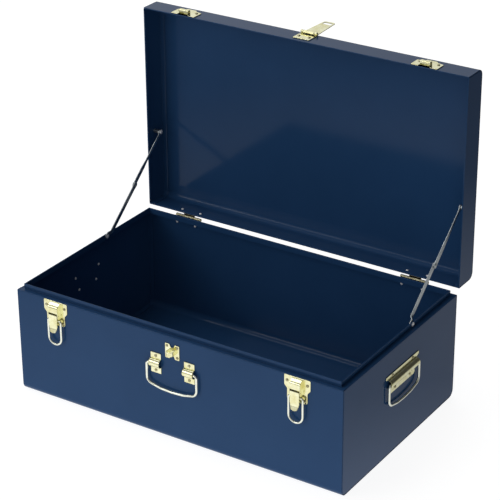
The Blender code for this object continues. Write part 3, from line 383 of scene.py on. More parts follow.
# %% Making a piece
def swung_open(points):
    """The lid's points turned a quarter back about the hinge line: depth past the line becomes height."""
    x, y, z = np.asarray(points, float).T
    return np.stack([x, HINGE_Y + (z - HINGE_Z), HINGE_Z - (y - HINGE_Y)], -1)


def mirror_x(parts):
    """The same surfaces with X reversed; their faces are turned outward again when the piece is made."""
    return [(points * (-1, 1, 1), *rest) for points, *rest in parts]


def moved(parts, x):
    """The same surfaces carried along X."""
    return [(points + (x, 0, 0), *rest) for points, *rest in parts]


def piece(name, parts, material, body, nodes=(), on_lid=False, sharp=35):
    """One object from several closed surfaces, in metres, riding on its body and standing for CAD nodes. A
    surface may name its own finish; the others take the piece's material."""
    points, faces, finishes, base = [], [], [], 0
    for part_points, part_faces, *finish in parts:
        points.append(swung_open(part_points) if on_lid else part_points)
        faces += [[base + i for i in face] for face in part_faces]
        finishes += (finish or [material]) * len(part_faces)
        base += len(part_points)
    mesh = bpy.data.meshes.new(name)
    mesh.from_pydata((np.concatenate(points) * MM).tolist(), [], faces)
    used = list(dict.fromkeys(finishes))
    for finish in used:
        mesh.materials.append(finish)
    mesh.polygons.foreach_set("material_index", [used.index(finish) for finish in finishes])
    work = bmesh.new()
    work.from_mesh(mesh)
    bmesh.ops.remove_doubles(work, verts=work.verts, dist=1e-7)
    bmesh.ops.recalc_face_normals(work, faces=work.faces)
    work.to_mesh(mesh)
    work.free()
    mesh.shade_smooth()
    mesh.set_sharp_from_angle(angle=math.radians(sharp))
    made = bpy.data.objects.new(name, mesh)
    bpy.context.scene.collection.objects.link(made)
    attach(made, body)
    if nodes:
        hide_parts(*nodes)
    print(f"{name}: {len(parts)} surfaces, {len(mesh.polygons)} faces")
    return made


# %% [markdown]
# ## The base wrap
# One sheet is folded up at the front and back of the floor on a radius of about twelve times its thickness,
# stepped in at the top to a ledge the lid sits on, and turned up again as a lip. The lip's raw edge is folded
# back on itself, a hem, so that it is stiff and safe to reach over.

# %% Base wrap and lips
def wrap_outline(half_y, low, bend, top, end_y):
    """A folded trough: floor, two bends, two walls, each wall turned in at the top to end_y."""
    def side(inset):
        """Its right half at an inset: the foot bend, the top bend and the inward flange."""
        return np.concatenate(
            [
                arc((half_y - bend, low + bend), bend - inset, -90, 0, 10),
                arc((half_y - EDGE_BEND, top - EDGE_BEND), EDGE_BEND - inset, 0, 90, 5),
                [(end_y, top - inset)],
            ]
        )
    outer, inner = side(0.0), side(SHEET)
    half = np.concatenate([outer, inner[::-1]])
    left = half[::-1] * (-1, 1)
    count = len(outer)
    right_out, right_in = outer, inner[::-1]
    left_in, left_out = left[:count], left[count:]
    return np.concatenate([right_out, right_in, left_in, left_out])


def lip_outline(out, low=LEDGE_Z - SHEET):
    """The upstand and its folded hem; out is the hem's outer face, and the sheet runs down to the ledge."""
    inner, mid = out - 2 * SHEET, out - SHEET
    fold = arc((mid, LIP_TOP - SHEET), SHEET, 180, 0, 8)
    toe = arc((out - SHEET / 2, LIP_TOP - HEM_H), SHEET / 2, 0, -180, 5)
    return np.concatenate([[(inner, low)], fold, toe, [(mid, low + 0.4)], [(mid - 0.2, low)]])


shell = [slab(wrap_outline(HALF_Y, 0, BASE_BEND, LEDGE_Z, LIP_Y - 1.5 * SHEET), "X", -HALF_X, HALF_X, 0.35)]
lip = lip_outline(LIP_Y)
shell += [slab(lip * (side, 1), "X", -LIP_X, LIP_X, 0.35) for side in (1, -1)]
piece("base_shell", shell, NAVY, "base", ["base_wrap"])


# %% [markdown]
# ## The ends
# Each end is a flat plate with its bottom and side edges bent inward as flanges, which are spot welded inside
# the wrap. From outside only the soft bend shows, a millimetre and a half in from the wrap's cut edge.

# %% End panels
def flanged(half_y, low, bend, top, face, flange):
    """A plate closed below by bent flanges. Across the bend the section goes from the plate's face round a
    quarter circle to the flange's end and back along the inside; that section follows the U of the edge."""
    phi = np.radians(np.linspace(0, 90, 6))
    end_inset = [0, 0.3, SHEET - 0.2, SHEET, SHEET, SHEET + 0.5]
    end_depth = [flange - 0.3, flange, flange, flange - 0.3, SHEET + 0.3, SHEET]
    inset = np.concatenate([[EDGE_BEND + 0.5], EDGE_BEND * (1 - np.sin(phi)), end_inset])
    depth = np.concatenate([[0.0], EDGE_BEND * (1 - np.cos(phi)), end_depth])

    def run(d):
        """The U of the edge drawn in by d: down one side, round both bends and up the other."""
        corner = arc((half_y - bend, low + bend), bend - d, -90, 0, 10)
        half = np.concatenate([[(0.0, low + d)], corner, [(half_y - d, top - 1.0), (half_y - d, top)]])
        return np.concatenate([half, (half[::-1] * (-1, 1))[:-1]])

    start = len(run(0.0)) // 2
    lines = np.stack([np.roll(run(d), -start - 1, 0) for d in inset])
    rings = lay(lines, "X", (face - depth)[:, None])
    points, faces = loft(rings, wrap=False, caps=False)
    rows, cols = rings.shape[:2]
    last = (rows - 1) * cols
    faces.append(list(range(cols)))
    faces.append(list(range(last, last + cols)))
    faces.append([r * cols for r in range(rows)])
    faces.append([r * cols + cols - 1 for r in range(rows)])
    faces.append([0, cols - 1, last + cols - 1, last])
    return points, faces


seat = SHEET + GAP
plate = flanged(HALF_Y - seat, seat, BASE_BEND - seat, LEDGE_Z - EDGE_BEND, HALF_X, FLANGE)
step = np.concatenate(
    [
        [(HALF_X - SHEET, LEDGE_Z - EDGE_BEND), (HALF_X, LEDGE_Z - EDGE_BEND)],
        arc((HALF_X - EDGE_BEND, LEDGE_Z - EDGE_BEND), EDGE_BEND, 0, 90, 6)[1:],
        lip_outline(LIP_X)[::-1][1:-1],
        [(LIP_X - 2 * SHEET, LEDGE_Z - SHEET), (HALF_X - SHEET, LEDGE_Z - SHEET)],
    ]
)
end_y = LIP_Y - 2 * SHEET - 0.1
right_end = [plate, slab(step, "Y", -end_y, end_y, 0.1)]
piece("end_right", right_end, NAVY, "base", ["end_panel_right"])
piece("end_left", mirror_x(right_end), NAVY, "base", ["end_panel_left"])

# %% [markdown]
# ## The lid
# The lid repeats the base's folding upside down and a hair larger, so that its rim drops over the lip and
# rests on the ledge. Its rim is hemmed inward, which also hides the raw edge from the hand.

# %% Lid shell and ends
lid_bend = (LID_Y - LID_BEND, LID_TOP - LID_BEND)
lid_out = np.concatenate([[(LID_Y, LID_RIM + 0.4)], arc(lid_bend, LID_BEND, 0, 90, 10)])
lid_in = np.concatenate([arc(lid_bend, LID_BEND - SHEET, 90, 0, 10), [(LID_Y - SHEET, LID_RIM + 0.1)]])
lid_edge = np.array([(LID_Y - 0.3, LID_RIM)])
other = (-1, 1)
lid_outline = np.concatenate(
    [lid_out, lid_out[::-1] * other, lid_edge * other, lid_in[::-1] * other, lid_in, lid_edge]
)
hem_x = LID_X - FLANGE - SHEET
hem_box = rounded(
    [
        (LID_Y - 2 * SHEET, LID_RIM, 0.4),
        (LID_Y - SHEET / 2, LID_RIM, 0.3),
        (LID_Y - SHEET / 2, LID_RIM + LID_HEM_H - 0.2, 0),
        (LID_Y - SHEET, LID_RIM + LID_HEM_H, 0),
        (LID_Y - 2 * SHEET, LID_RIM + LID_HEM_H, 0.4),
    ],
    4,
)
lid_parts = [slab(lid_outline, "X", -LID_X, LID_X, 0.35)]
lid_parts += [slab(hem_box * (side, 1), "X", -hem_x, hem_x, 0.3) for side in (1, -1)]
piece("lid_shell", lid_parts, NAVY, "lid", ["lid_wrap"], on_lid=True)

cap_points, cap_faces = flanged(LID_Y - seat, -LID_TOP + seat, LID_BEND - seat, -LID_RIM, LID_X, FLANGE)
cap = [(cap_points * (1, 1, -1), cap_faces)]
cap_y = LID_Y - FLANGE - SHEET
hem_in, hem_out = LID_X - 2 * SHEET, LID_X - SHEET + 0.2
hem_low, hem_high = LID_RIM, LID_RIM + LID_HEM_H
cap_hem = [(hem_in, hem_low), (hem_out, hem_low), (hem_out, hem_high), (hem_in, hem_high)]
cap.append(slab(cap_hem, "Y", -cap_y, cap_y, 0.25))
piece("lid_cap_right", cap, NAVY, "lid", ["lid_end_right"], on_lid=True)
piece("lid_cap_left", mirror_x(cap), NAVY, "lid", ["lid_end_left"], on_lid=True)

# %% [markdown]
# ## Hinges
# A strip of plated steel is curled round the pin: two outer knuckles belong to the lower leaf and the middle
# one to the upper leaf. Its brass is dark, painted shade for the gap between lid and back. Each leaf is held
# by two rivets, whose tails are a nearly white painted highlight that shows as bright dots inside the trunk.

# %% Hinge leaves and pins
def hinge_leaf(leaf_y, up, knuckles):
    """The leaf's plate over the full width, and the curled strip over the stretches that carry knuckles."""
    z0, turn = HINGE_Z + up * 20.0, HINGE_Z + up * 2.5
    path = rounded([(leaf_y, z0, 0), (leaf_y, turn, 1.8), (HINGE_Y, turn, 0)])
    curl = arc((HINGE_Y, HINGE_Z), 2.5, up * 90, -up * 180, 22)
    line = sheet_line(np.concatenate([path, curl[1:]]), 1.2)
    flat = sheet_line([(leaf_y, z0), (leaf_y, HINGE_Z + up * 4.6)], 1.2)
    parts = [slab(line, "X", low, high, 0.25) for low, high in knuckles]
    parts.append(slab(flat, "X", -24.9, 24.9, 0.25))
    for x in (-18.5, 18.5):
        parts += rivet((x, leaf_y + 0.6, HINGE_Z + up * 9.0), BACK, 1.2 + 2 * GAP + SHEET)
    return parts


base_leaf = hinge_leaf(HALF_Y + GAP + 0.6, -1, ((-25, -11.3), (11.3, 25)))
lid_leaf = hinge_leaf(LID_Y + GAP + 0.6, 1, ((-11, 11),))
pin_profile = [(0.9, -25.4), (1.4, -25.2), (1.6, -24.8), (1.6, 24.8), (1.4, 25.2), (0.9, 25.4)]
pin = [turned(pin_profile, (0, HINGE_Y, HINGE_Z), RIGHT, 20)]
for side, x in (("right", HINGE_X), ("left", -HINGE_X)):
    piece("hinge_lower_" + side, moved(base_leaf, x), SHADED_HINGE_BRASS, "base", ["hinge_base_leaf_" + side])
    piece("hinge_upper_" + side, moved(lid_leaf, x), SHADED_HINGE_BRASS, "lid", ["hinge_lid_leaf_" + side], on_lid=True)
    piece("hinge_rod_" + side, moved(pin, x), SHADED_HINGE_BRASS, "base", ["hinge_pin_" + side])

# %% [markdown]
# ## Stays
# Two flat bars riveted end to end hold the lid upright. The lower bar turns on a rivet through the lip, the
# upper one on a stud on the lid's end, and both are cranked so that their middles pass each other side by
# side. The middle rivet is drawn as two heads, one on each bar.

# %% Stay bars
TAB_X, UPPER_X, LOWER_X, COLLAR_R = 288.95, 286.75, 284.95, 3.4


def bar(length, bends, widths, start, degrees):
    """A flat bar in its own (run, offset) plane, half as wide as widths says at each run and closed by round
    eyes of radius 5, then turned by degrees about the start pivot."""
    s = np.concatenate([-5 * np.cos(np.radians(np.linspace(8, 90, 9))), np.linspace(0.8, length - 0.8, 60)])
    s = np.concatenate([s, length + 5 * np.sin(np.radians(np.linspace(0, 82, 9)))])
    eye = np.maximum(25 - s**2, 0) ** 0.5 * (np.abs(s) < 5) + np.maximum(25 - (s - length) ** 2, 0) ** 0.5 * (
        np.abs(s - length) < 5
    )
    half = np.maximum(eye, np.interp(s, *zip(*widths), left=0, right=0) * ((s > 0) & (s < length)))
    x = np.interp(s, *zip(*bends))
    points, faces = ribbon(np.stack([x, s], -1), half, 1.5, "Z", 0.35)
    x, y, z = points.T
    c, r = math.cos(math.radians(degrees)), math.sin(math.radians(degrees))
    return np.stack([x, start[0] + y * c - z * r, start[1] + y * r + z * c], -1), faces


run_y, run_z = STAY_LID[0] - STAY_BASE[0], STAY_LID[1] - STAY_BASE[1]
full, lean = math.hypot(run_y, run_z), math.degrees(math.atan2(run_z, run_y))
upper = full - STAY_LOWER
mid = [STAY_BASE[i] + (STAY_LID[i] - STAY_BASE[i]) * STAY_LOWER / full for i in (0, 1)]
low_widths = [(0, 5), (9, 4), (STAY_LOWER - 7, 4), (STAY_LOWER, 5)]
top_widths = [(0, 5), (8, 2.5), (upper * 0.5, 2.5), (upper * 0.68, 4), (upper - 7, 4), (upper, 5)]
low_bar = [
    bar(STAY_LOWER, [(6, TAB_X), (10, LOWER_X)], low_widths, STAY_BASE, lean),
    turned(dome(3.8, 1.3), (LOWER_X - 0.75, *mid), LEFT),
]
top_bar = [
    bar(upper, [(0, UPPER_X), (upper, UPPER_X)], top_widths, STAY_LID, lean + 180),
    turned(dome(3.8, 1.3), (UPPER_X + 0.75, *mid), RIGHT),
]
lip_rivet = [
    turned(dome(3.5, 1.4, 0.0), (LIP_X + GAP, *STAY_BASE), RIGHT),
    turned([(2.2, 0), (2.2, 4.6)], (LIP_X - 4.4, *STAY_BASE), RIGHT),
    turned(dome(3.6, 1.1, 0.0), (LIP_X - 4.1, *STAY_BASE), LEFT),
]
collar_x = UPPER_X + 0.75 + GAP
collar = LID_X - SHEET - 0.05 - collar_x
stud = [
    (*turned([(COLLAR_R, 0), (COLLAR_R, collar)], (collar_x, *STAY_LID), RIGHT), ZINC),
    turned(dome(3.8, 1.3, 0.1), (UPPER_X - 0.75 - GAP, *STAY_LID), LEFT),
]
stay_parts = (
    ("stay_low_bar_", low_bar, ZINC, "stay_lower_arm_{}", "stay_lower_"),
    ("stay_top_bar_", top_bar, ZINC, "stay_upper_arm_{}", "stay_upper_"),
    # The lip rivet and the stud head take the nearly white finish: painted highlight.
    ("stay_lip_rivet_", lip_rivet, GLINT_WHITE, "base", "stay_base_rivet_"),
    ("stay_stud_", stud, GLINT_WHITE, "lid", "stay_lid_stud_"),
)
for side, turn_side in (("right", list), ("left", mirror_x)):
    for name, parts, finish, body, node in stay_parts:
        piece(name + side, turn_side(parts), finish, body.format(side), [node + side])

# %% [markdown]
# ## Draw latches
# A shouldered plate carries a hooded box for the lever's pin. The lever is a folded channel, and the wire
# loop hangs from it just under the pin: lifting the lever raises the loop over the strike, and pressing it
# down pulls the lid tight. The channel is a strap with a width at each height, and its cheeks are two plates.

# %% Latch plate, lever, loop and pin
def latch():
    """The parts of one draw latch at the middle of the front: plate, lever, wire loop and pin."""
    outline = rounded(halves([(17.5, 141.5, 4), (17.5, 160.0, 4), (22.5, 165.5, 4), (22.5, 182.6, 1.2)]))
    plate = [slab(outline, "Y", PLATE_FACE, PLATE_FACE + PLATE_T, 0.3)]
    sunk, face = PLATE_FACE + PLATE_T / 2, -187.0
    ear_foot = [(sunk, 154.8, 0), (FULCRUM_Y - 1, 154.8, 1.5), (face, 157.6, 1.5)]
    ear = rounded(ear_foot + [(face, 176.5, 4), (sunk, 180.5, 0)])
    plate += [slab(ear, "X", *sorted((s * 8.3, s * 9.3)), 0.3) for s in (1, -1)]
    hood = rounded([(face + 0.2, 165.6, 0), (face + 0.2, 176.3, 4.0), (sunk, 180.7, 0)], 10)
    plate.append(ribbon(hood, 9.2, PLATE_T, "X", 0.35))
    pin_end = [(0.8, -0.35), (1.9, -0.3), (2.0, 0)]
    plate += [turned(pin_end, (s * 9.3, FULCRUM_Y, FULCRUM_Z), (-s, 0, 0)) for s in (1, -1)]
    for x, z in ((-17.5, 173.5), (17.5, 173.5), (-13.2, 146.5), (13.2, 146.5)):
        plate += rivet((x, PLATE_FACE, z), FRONT, PLATE_GRIP)
    knee = rounded([(face, 150.0, 0), (face, 138.0, 6), (face - 2.4, 131.6, 0)], 8)[1:-1]
    shank = np.stack([np.full(16, face), np.linspace(162.6, 141.5, 16)], -1)
    tip = np.linspace(knee[-1], (face - 2.4, 131.6), 9)[1:]
    web = np.concatenate([shank, knee, tip])
    width = np.interp(web[:, 1], [131.6, 132.0, 132.8, 134.5, 138.5, 144], [2.6, 3.9, 5.0, 6.0, 7.0, 8.0])
    lever = [ribbon(web, width, PLATE_T, "X", 0.35)]
    eye = arc((FULCRUM_Y, FULCRUM_Z), 3.4, -20, 110, 10)
    cheek_foot = [(face, 141.5), (face + 2.2, 141.5), (FULCRUM_Y + 2.9, 149.0)]
    cheek = np.concatenate([cheek_foot, eye, [(face, 162.4)]])
    lever += [slab(cheek, "X", *sorted((s * 7.0, s * 7.95)), 0.2) for s in (1, -1)]
    pin_rod = [rod(9.7, 1.5, 1.1, 0.4, (0, FULCRUM_Y, FULCRUM_Z))]
    half, low = 12.2, 121.0
    side = rounded([(6.7, LOOP_Z, 0), (half, LOOP_Z, 2.6), (half, low, 0)], 8)[:-1]
    legs = np.stack([np.full(6, half), np.linspace(147, low + 2, 6)], -1)
    right = np.concatenate([side, legs])
    path = np.concatenate([right, arc((0, low), half, 0, -180, 28), right[::-1] * (-1, 1)])
    loop = [tube(lay(path, "Y", FULCRUM_Y), 1.75, FRONT)]
    return plate, lever, loop, pin_rod


plate, lever, loop, pin_rod = latch()
for side, x in (("right", LATCH_X), ("left", -LATCH_X)):
    piece("latch_body_" + side, moved(plate, x), BRASS, "base", ["latch_plate_" + side])
    piece("latch_arm_" + side, moved(lever, x), BRASS, "lever_" + side, ["latch_lever_" + side])
    piece("latch_loop_" + side, moved(loop, x), WIRE, "loop_" + side, ["latch_bail_" + side])
    piece("latch_rod_" + side, moved(pin_rod, x), BRASS, "base", ["latch_pin_" + side])

# %% [markdown]
# ## Strikes
# The strike is a stamping with a wing down to the rim on each side and a hollow catch between them: the
# latch's loop drops over the catch's upper side. A strap bent round the catch's top, front and lip makes it,
# with a plate to close each end.

# %% Strike
wing = [(9.6, 188.5, 0), (10.2, 184.3, 0.5), (23.0, 184.3, 1.5)]
wing += [(23.0, 206.0, 2), (11.0, 209.0, 1), (9.0, 213.0, 2)]
strike = [slab(rounded(halves(wing)), "Y", LID_PLATE_FACE, LID_PLATE_FACE + PLATE_T, 0.3)]
root, front, low, high = LID_PLATE_FACE + 0.5, LID_PLATE_FACE - 6.7, 187.5, 193.9
catch = rounded([(root, high, 0), (front, high, 1.4), (front, low, 1.2), (front + 3.7, low, 0)], 8)
strike.append(ribbon(catch, 9.0, PLATE_T, "X", 0.35))
inner, outer, top = root - 0.2, front + 0.1, high - 0.1
cheek = rounded([(inner, low, 0), (outer, low, 0.9), (outer, top, 1.2), (inner, top, 0)])
strike += [slab(cheek, "X", *sorted((s * 8.0, s * 9.0)), 0.25) for s in (1, -1)]
for x in (-16.5, 16.5):
    strike += rivet((x, LID_PLATE_FACE, 201.0), FRONT, PLATE_GRIP)
for side, x in (("right", LATCH_X), ("left", -LATCH_X)):
    piece("strike_plate_" + side, moved(strike, x), BRASS, "lid", ["strike_" + side], on_lid=True)

# %% [markdown]
# ## Hasp
# A hasp is a strap hinged on a bracket. Its outer knuckles are curled from the bracket and the middle one
# from the strap. The slot needs a true hole, so the strap is one skin that runs from the outer line over the
# face, through the hole and back. Both lines are read off by angle about the slot, so their points pair up.

# %% Hasp bracket, strap and pin
hasp_axis = (HASP_Y, HASP_Z)
flat_y = HASP_Y + HASP_R
bracket = [ribbon([(flat_y, 190.0), (flat_y, 195), (flat_y, 205), (flat_y, 211.5)], 15.0, 1.2, "X", 0.35)]
outer = np.concatenate([[(flat_y, 209.0)], arc(hasp_axis, HASP_R, 0, 255, 26)])
bracket += [(p + (s * 12.5, 0, 0), f) for s in (1, -1) for p, f in [ribbon(outer, 2.5, 1.2, "X", 0.3)]]
for x in (-9.5, 9.5):
    bracket += rivet((x, flat_y - 0.6, 200.0), FRONT, 1.2 + 2 * GAP + SHEET)
piece("hasp_plate", bracket, BRASS, "lid", ["hasp_bracket"], on_lid=True)

end_z = HASP_Z + 66.0
inner = np.concatenate([[(flat_y, HASP_Z + 4.5)], arc(hasp_axis, HASP_R, 0, -255, 26)])
strap = [ribbon(inner, 9.7, 1.2, "X", 0.3)]


def pierced(outer_line, hole, axis, low, high, soft=0.25):
    """A plate with a hole: both closed lines have the same count, and the section runs from the outer line
    over the face to the hole, through it and back."""
    out_n, hole_n = normals(outer_line, True), normals(hole, True)
    drawn_in, eased = outer_line + out_n * soft, hole - hole_n * soft
    rows = [drawn_in, eased, hole, hole, eased, drawn_in, outer_line, outer_line]
    depths = [low, low, low + soft, high - soft, high, high, high - soft, low + soft]
    rings = lay(np.stack(rows), axis, np.array(depths)[:, None])
    rings = np.concatenate([rings, rings[:1]])
    return loft(rings, caps=False)


def resampled(line, count):
    """The closed line at equal steps of its own length."""
    loop_line = np.concatenate([line, line[:1]])
    run = np.concatenate([[0], np.cumsum(np.linalg.norm(np.diff(loop_line, axis=0), axis=1))])
    t = np.linspace(0, run[-1], count, endpoint=False)
    return np.stack([np.interp(t, run, loop_line[:, k]) for k in (0, 1)], -1)


def from_angle(line, centre, count):
    """The closed line read off by angle about a centre, at equal angle steps."""
    fine = resampled(line, 4000)
    angle = np.unwrap(np.arctan2(fine[:, 1] - centre[1], fine[:, 0] - centre[0]))
    order = np.argsort(np.mod(angle, 2 * np.pi))
    a = np.linspace(0, 2 * np.pi, count, endpoint=False)
    known = np.mod(angle, 2 * np.pi)[order]
    return np.stack([np.interp(a, known, fine[order][:, k], period=2 * np.pi) for k in (0, 1)], -1)


tongue = rounded(halves([(14.0, HASP_Z + 3.6, 0.6), (13.6, HASP_Z + 10, 2), (10.4, end_z, 5)]), 10)
slot_hole = rounded(halves([(7.8, HASP_Z + 52.8, 2.0), (7.8, HASP_Z + 61.2, 2.0)]), 8)
slot_centre = (0.0, HASP_Z + 57.0)
tongue, slot_hole = (from_angle(line, slot_centre, 240) for line in (tongue, slot_hole))
strap.append(pierced(tongue, slot_hole, "Y", flat_y - 0.6, flat_y + 0.6))
piece("hasp_tongue", strap, BRASS, "hasp", ["hasp_strap"], on_lid=True)
piece("hasp_rod", [rod(15.3, 1.5, 0.9, 0.3, (0, *hasp_axis))], BRASS, "lid", ["hasp_pin"], on_lid=True)

# %% [markdown]
# ## Staple
# The staple is a small plate notched above and below its loop, which is a bent strap standing on the plate. A
# padlock goes through the loop once the hasp's slot is over it.

# %% Staple
z, notch = STAPLE_Z, [(2.4, 7.0, 0.6), (5.0, 12.5, 0.8), (13.0, 12.5, 1.5)]
right = [(x, z - up, r) for x, up, r in notch] + [(x, z + up, r) for x, up, r in reversed(notch)]
outline = rounded(halves(right))
staple = [slab(outline, "Y", PLATE_FACE, PLATE_FACE + PLATE_T, 0.3)]
foot, out = PLATE_FACE + 0.5, -HALF_Y - 11.4
arch = rounded([(-5.6, foot, 0), (-5.6, out, 4.8), (5.6, out, 4.8), (5.6, foot, 0)], 12)
points, faces = ribbon(arch, 3.6, 1.2, "Z", 0.35)
staple.append((points + (0, 0, z), faces))
for x in (-9.4, 9.4):
    for dz in (-8.6, 8.6):
        staple += rivet((x, PLATE_FACE, z + dz), FRONT, PLATE_GRIP, 2.4, 1.3)
piece("staple_plate", staple, BRASS, "base", ["staple"])

# %% [markdown]
# ## Handles
# A plate pressed out into a half-round barrel holds the handle's wire against the wall but lets it swing. The
# wire is bent in one plane, and its grip is bowed to fit the fingers.

# %% Handle brackets and wires
middle = PLATE_FACE + PLATE_T / 2


def barrel_path(face, z_low, z_mid, z_high, out):
    """Up the plate, out round half a circle and up again; out is -1 when the barrel stands toward -Y."""
    swell = arc((0, z_mid), BARREL_R, -90, 90, 26)
    lower = np.stack([np.full(4, face), np.linspace(z_low, z_mid - BARREL_R - 0.8, 4)], -1)
    higher = np.stack([np.full(4, face), np.linspace(z_mid + BARREL_R + 0.8, z_high, 4)], -1)
    return np.concatenate([lower, np.stack([face + out * swell[:, 0], swell[:, 1]], -1), higher])


path = barrel_path(middle, HANDLE_Z - 17.5, HANDLE_Z, HANDLE_Z + 17.5, -1)
bracket = [ribbon(path, 9.5, PLATE_T, "X", 0.35)]
for dz in (-12.6, 12.6):
    bracket += rivet((0, PLATE_FACE, HANDLE_Z + dz), FRONT, PLATE_GRIP)
piece("handle_plate_right", moved(bracket, 31.0), BRASS, "base", ["handle_bracket_right"])
piece("handle_plate_left", moved(bracket, -31.0), BRASS, "base", ["handle_bracket_left"])


def bowed(half, top, drop, end):
    """Along the pivot line, round a small bend, down a leg, round a wide corner and along a shallow bow."""
    low = top - drop
    leg = [(end, top, 0), (half, top, 4.0), (half, low + 7.0, 11.0)]
    right = rounded(leg + [(half * 0.45, low + 1.1, 30.0), (0, low, 0)], 10)[:-1]
    return np.concatenate([right, [(0, low)], right[::-1] * (-1, 1)])


front_line = lay(bowed(46.0, HANDLE_Z, 41.3, 23.5), "Y", -HALF_Y - WIRE_OUT)
front_wire = [tube(front_line, WIRE_R, FRONT)]
piece("front_handle_wire", front_wire, WIRE, "front_handle", ["front_bail"])

end_middle = HALF_X + GAP + PLATE_T / 2
path = barrel_path(end_middle, 109.0, END_HANDLE_Z, 142.5, 1)
width = np.interp(path[:, 1], [109, 111, 118, 119, 136.2, 137.5, 143], [37.5, 39, 39, 44.3, 44.3, 51, 51])
end_plate = [ribbon(path, width, PLATE_T, "Y", 0.35)]
for y, z in ((-31.5, 139.3), (31.5, 139.3), (-23, 114.8), (23, 114.8)):
    end_plate += rivet((HALF_X + GAP + PLATE_T, y, z), RIGHT, PLATE_GRIP)
end_wire = [tube(lay(bowed(47.0, END_HANDLE_Z, 42.0, 20.0), "X", HALF_X + WIRE_OUT), WIRE_R, RIGHT)]
for side, turn_side in (("right", list), ("left", mirror_x)):
    piece("end_handle_plate_" + side, turn_side(end_plate), BRASS, "base", ["end_plate_" + side])
    piece("end_handle_wire_" + side, turn_side(end_wire), WIRE, "end_handle_" + side, ["end_bail_" + side])

# %% [markdown]
# ## Floor, sky and lamps
# The floor looks evenly pale to the camera. What it sends to the trunk, in reflections and as bounced light,
# fades with distance and halves to the right and behind, so that glossy steel has something dark to mirror.
# The sky dims on that side too, and has two soft bright openings on the left, one behind the trunk and one
# in front. Two strip lamps stand on the left, one in front and one higher up.

# %% Stage
LIT_RADIUS, DARK_RADIUS, FLOOR_GLOW, FLOOR_DIM = 0.68, 1.15, 0.9, 0.12
SHADE_SIDE, SHADE_NEAR, SHADE_FAR, SHADE_SHARE = (0.8, 0.6, 0), 0.15, 0.40, 0.5
DARK_SIDE, SKY_BRIGHT, SKY_DIM = (0.75, 0.60, 0.28), 0.42, 0.05
WINDOW_SIDE, WINDOW_GLOW = (-0.50, 0.74, 0.45), 0.5
DOOR_SIDE, DOOR_GLOW = (-0.55, -0.81, 0.20), 0.4
floor_mesh = bpy.data.meshes.new("floor")
floor_mesh.from_pydata([(-20, -20, 0), (20, -20, 0), (20, 20, 0), (-20, 20, 0)], [], [(0, 1, 2, 3)])
floor = bpy.data.objects.new("floor", floor_mesh)
bpy.context.scene.collection.objects.link(floor)
white, nodes, links, shader = shader_of("floor_white")
shader.inputs["Base Color"].default_value = (0.3, 0.3, 0.3, 1)
shader.inputs["Roughness"].default_value = 0.7
shader.inputs["Emission Color"].default_value = (1, 1, 1, 1)
ground = nodes.new("ShaderNodeTexCoord").outputs["Object"]
from_trunk = nodes.new("ShaderNodeVectorMath")
from_trunk.operation = "DISTANCE"
from_trunk.inputs[1].default_value = (0.15, -0.05, 0)
links.new(ground, from_trunk.inputs[0])
lit = ranged(nodes, links, from_trunk.outputs["Value"], LIT_RADIUS, DARK_RADIUS, FLOOR_GLOW, FLOOR_DIM)
behind = nodes.new("ShaderNodeVectorMath")
behind.operation = "DOT_PRODUCT"
behind.inputs[1].default_value = SHADE_SIDE
links.new(ground, behind.inputs[0])
shade = ranged(nodes, links, behind.outputs["Value"], SHADE_NEAR, SHADE_FAR, 1, SHADE_SHARE)
shaded = nodes.new("ShaderNodeMath")
shaded.operation = "MULTIPLY"
links.new(lit, shaded.inputs[0])
links.new(shade, shaded.inputs[1])
seen = nodes.new("ShaderNodeMix")
seen.inputs[3].default_value = FLOOR_GLOW
links.new(nodes.new("ShaderNodeLightPath").outputs["Is Camera Ray"], seen.inputs["Factor"])
links.new(shaded.outputs[0], seen.inputs[2])
links.new(seen.outputs[0], shader.inputs["Emission Strength"])
floor_mesh.materials.append(white)

world = bpy.data.worlds.new("studio")
bpy.context.scene.world = world
world.use_nodes = True
nodes, links = world.node_tree.nodes, world.node_tree.links
direction = nodes.new("ShaderNodeTexCoord").outputs["Generated"]


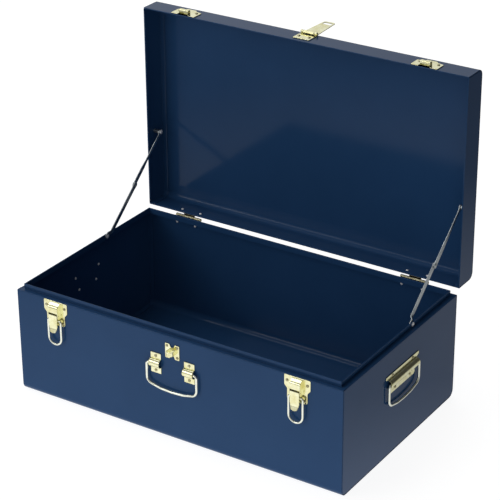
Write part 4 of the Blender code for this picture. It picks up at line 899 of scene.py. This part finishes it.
def facing(aim, low, high, to_low, to_high):
    """A map of how far the sky's direction agrees with aim, by their dot product."""
    dot = nodes.new("ShaderNodeVectorMath")
    dot.operation = "DOT_PRODUCT"
    dot.inputs[1].default_value = aim
    links.new(direction, dot.inputs[0])
    return ranged(nodes, links, dot.outputs["Value"], low, high, to_low, to_high)


def summed(first, second):
    """The sum of two glows."""
    both = nodes.new("ShaderNodeMath")
    links.new(first, both.inputs[0])
    links.new(second, both.inputs[1])
    return both.outputs[0]


window = facing(WINDOW_SIDE, 0.80, 0.97, 0, WINDOW_GLOW)
door = facing(DOOR_SIDE, 0.93, 0.985, 0, DOOR_GLOW)
sky = facing(DARK_SIDE, 0.1, 0.7, SKY_BRIGHT, SKY_DIM)
links.new(summed(sky, summed(window, door)), nodes["Background"].inputs["Strength"])
nodes["Background"].inputs["Color"].default_value = (0.97, 0.98, 1.0, 1)


def area_light(name, place, aim, size, power):
    """A soft light of (width, height) at place, facing aim."""
    data = bpy.data.lights.new(name, "AREA")
    data.shape, data.energy = "RECTANGLE", power
    data.size, data.size_y = size
    lamp = bpy.data.objects.new(name, data)
    bpy.context.scene.collection.objects.link(lamp)
    lamp.location = place
    turn = np.array(aim, float) - np.array(place, float)
    yaw = math.atan2(turn[1], turn[0])
    pitch = math.atan2(math.hypot(turn[0], turn[1]), -turn[2])
    lamp.rotation_euler = (pitch, 0, yaw - math.pi / 2)
    return lamp


area_light("key", (-1.6, -2.4, 1.6), (0, 0, 0.15), (1.8, 0.5), 12)
area_light("above", (-1.2, 0.1, 2.4), (0, 0, 0.15), (0.7, 2.0), 10.5)

# %% [markdown]
# ## Camera
# It stands about three metres away, to the right of the front and above it, with a long lens. The shifts move
# the frame off the lens's axis.

# %% Camera
camera_data = bpy.data.cameras.new("camera")
camera_data.sensor_width, camera_data.sensor_height, camera_data.sensor_fit = 36.0, 36.0, "HORIZONTAL"
camera_data.lens = 137.19
camera_data.shift_x, camera_data.shift_y = -0.0672, -0.0413
camera = bpy.data.objects.new("camera", camera_data)
bpy.context.scene.collection.objects.link(camera)
camera.location = (1.48065, -2.23696, 1.57336)
camera.rotation_euler = tuple(math.radians(a) for a in (64.4757, -0.1197, 31.9760))
bpy.context.scene.camera = camera
bpy.context.scene.view_settings.view_transform = "Standard"
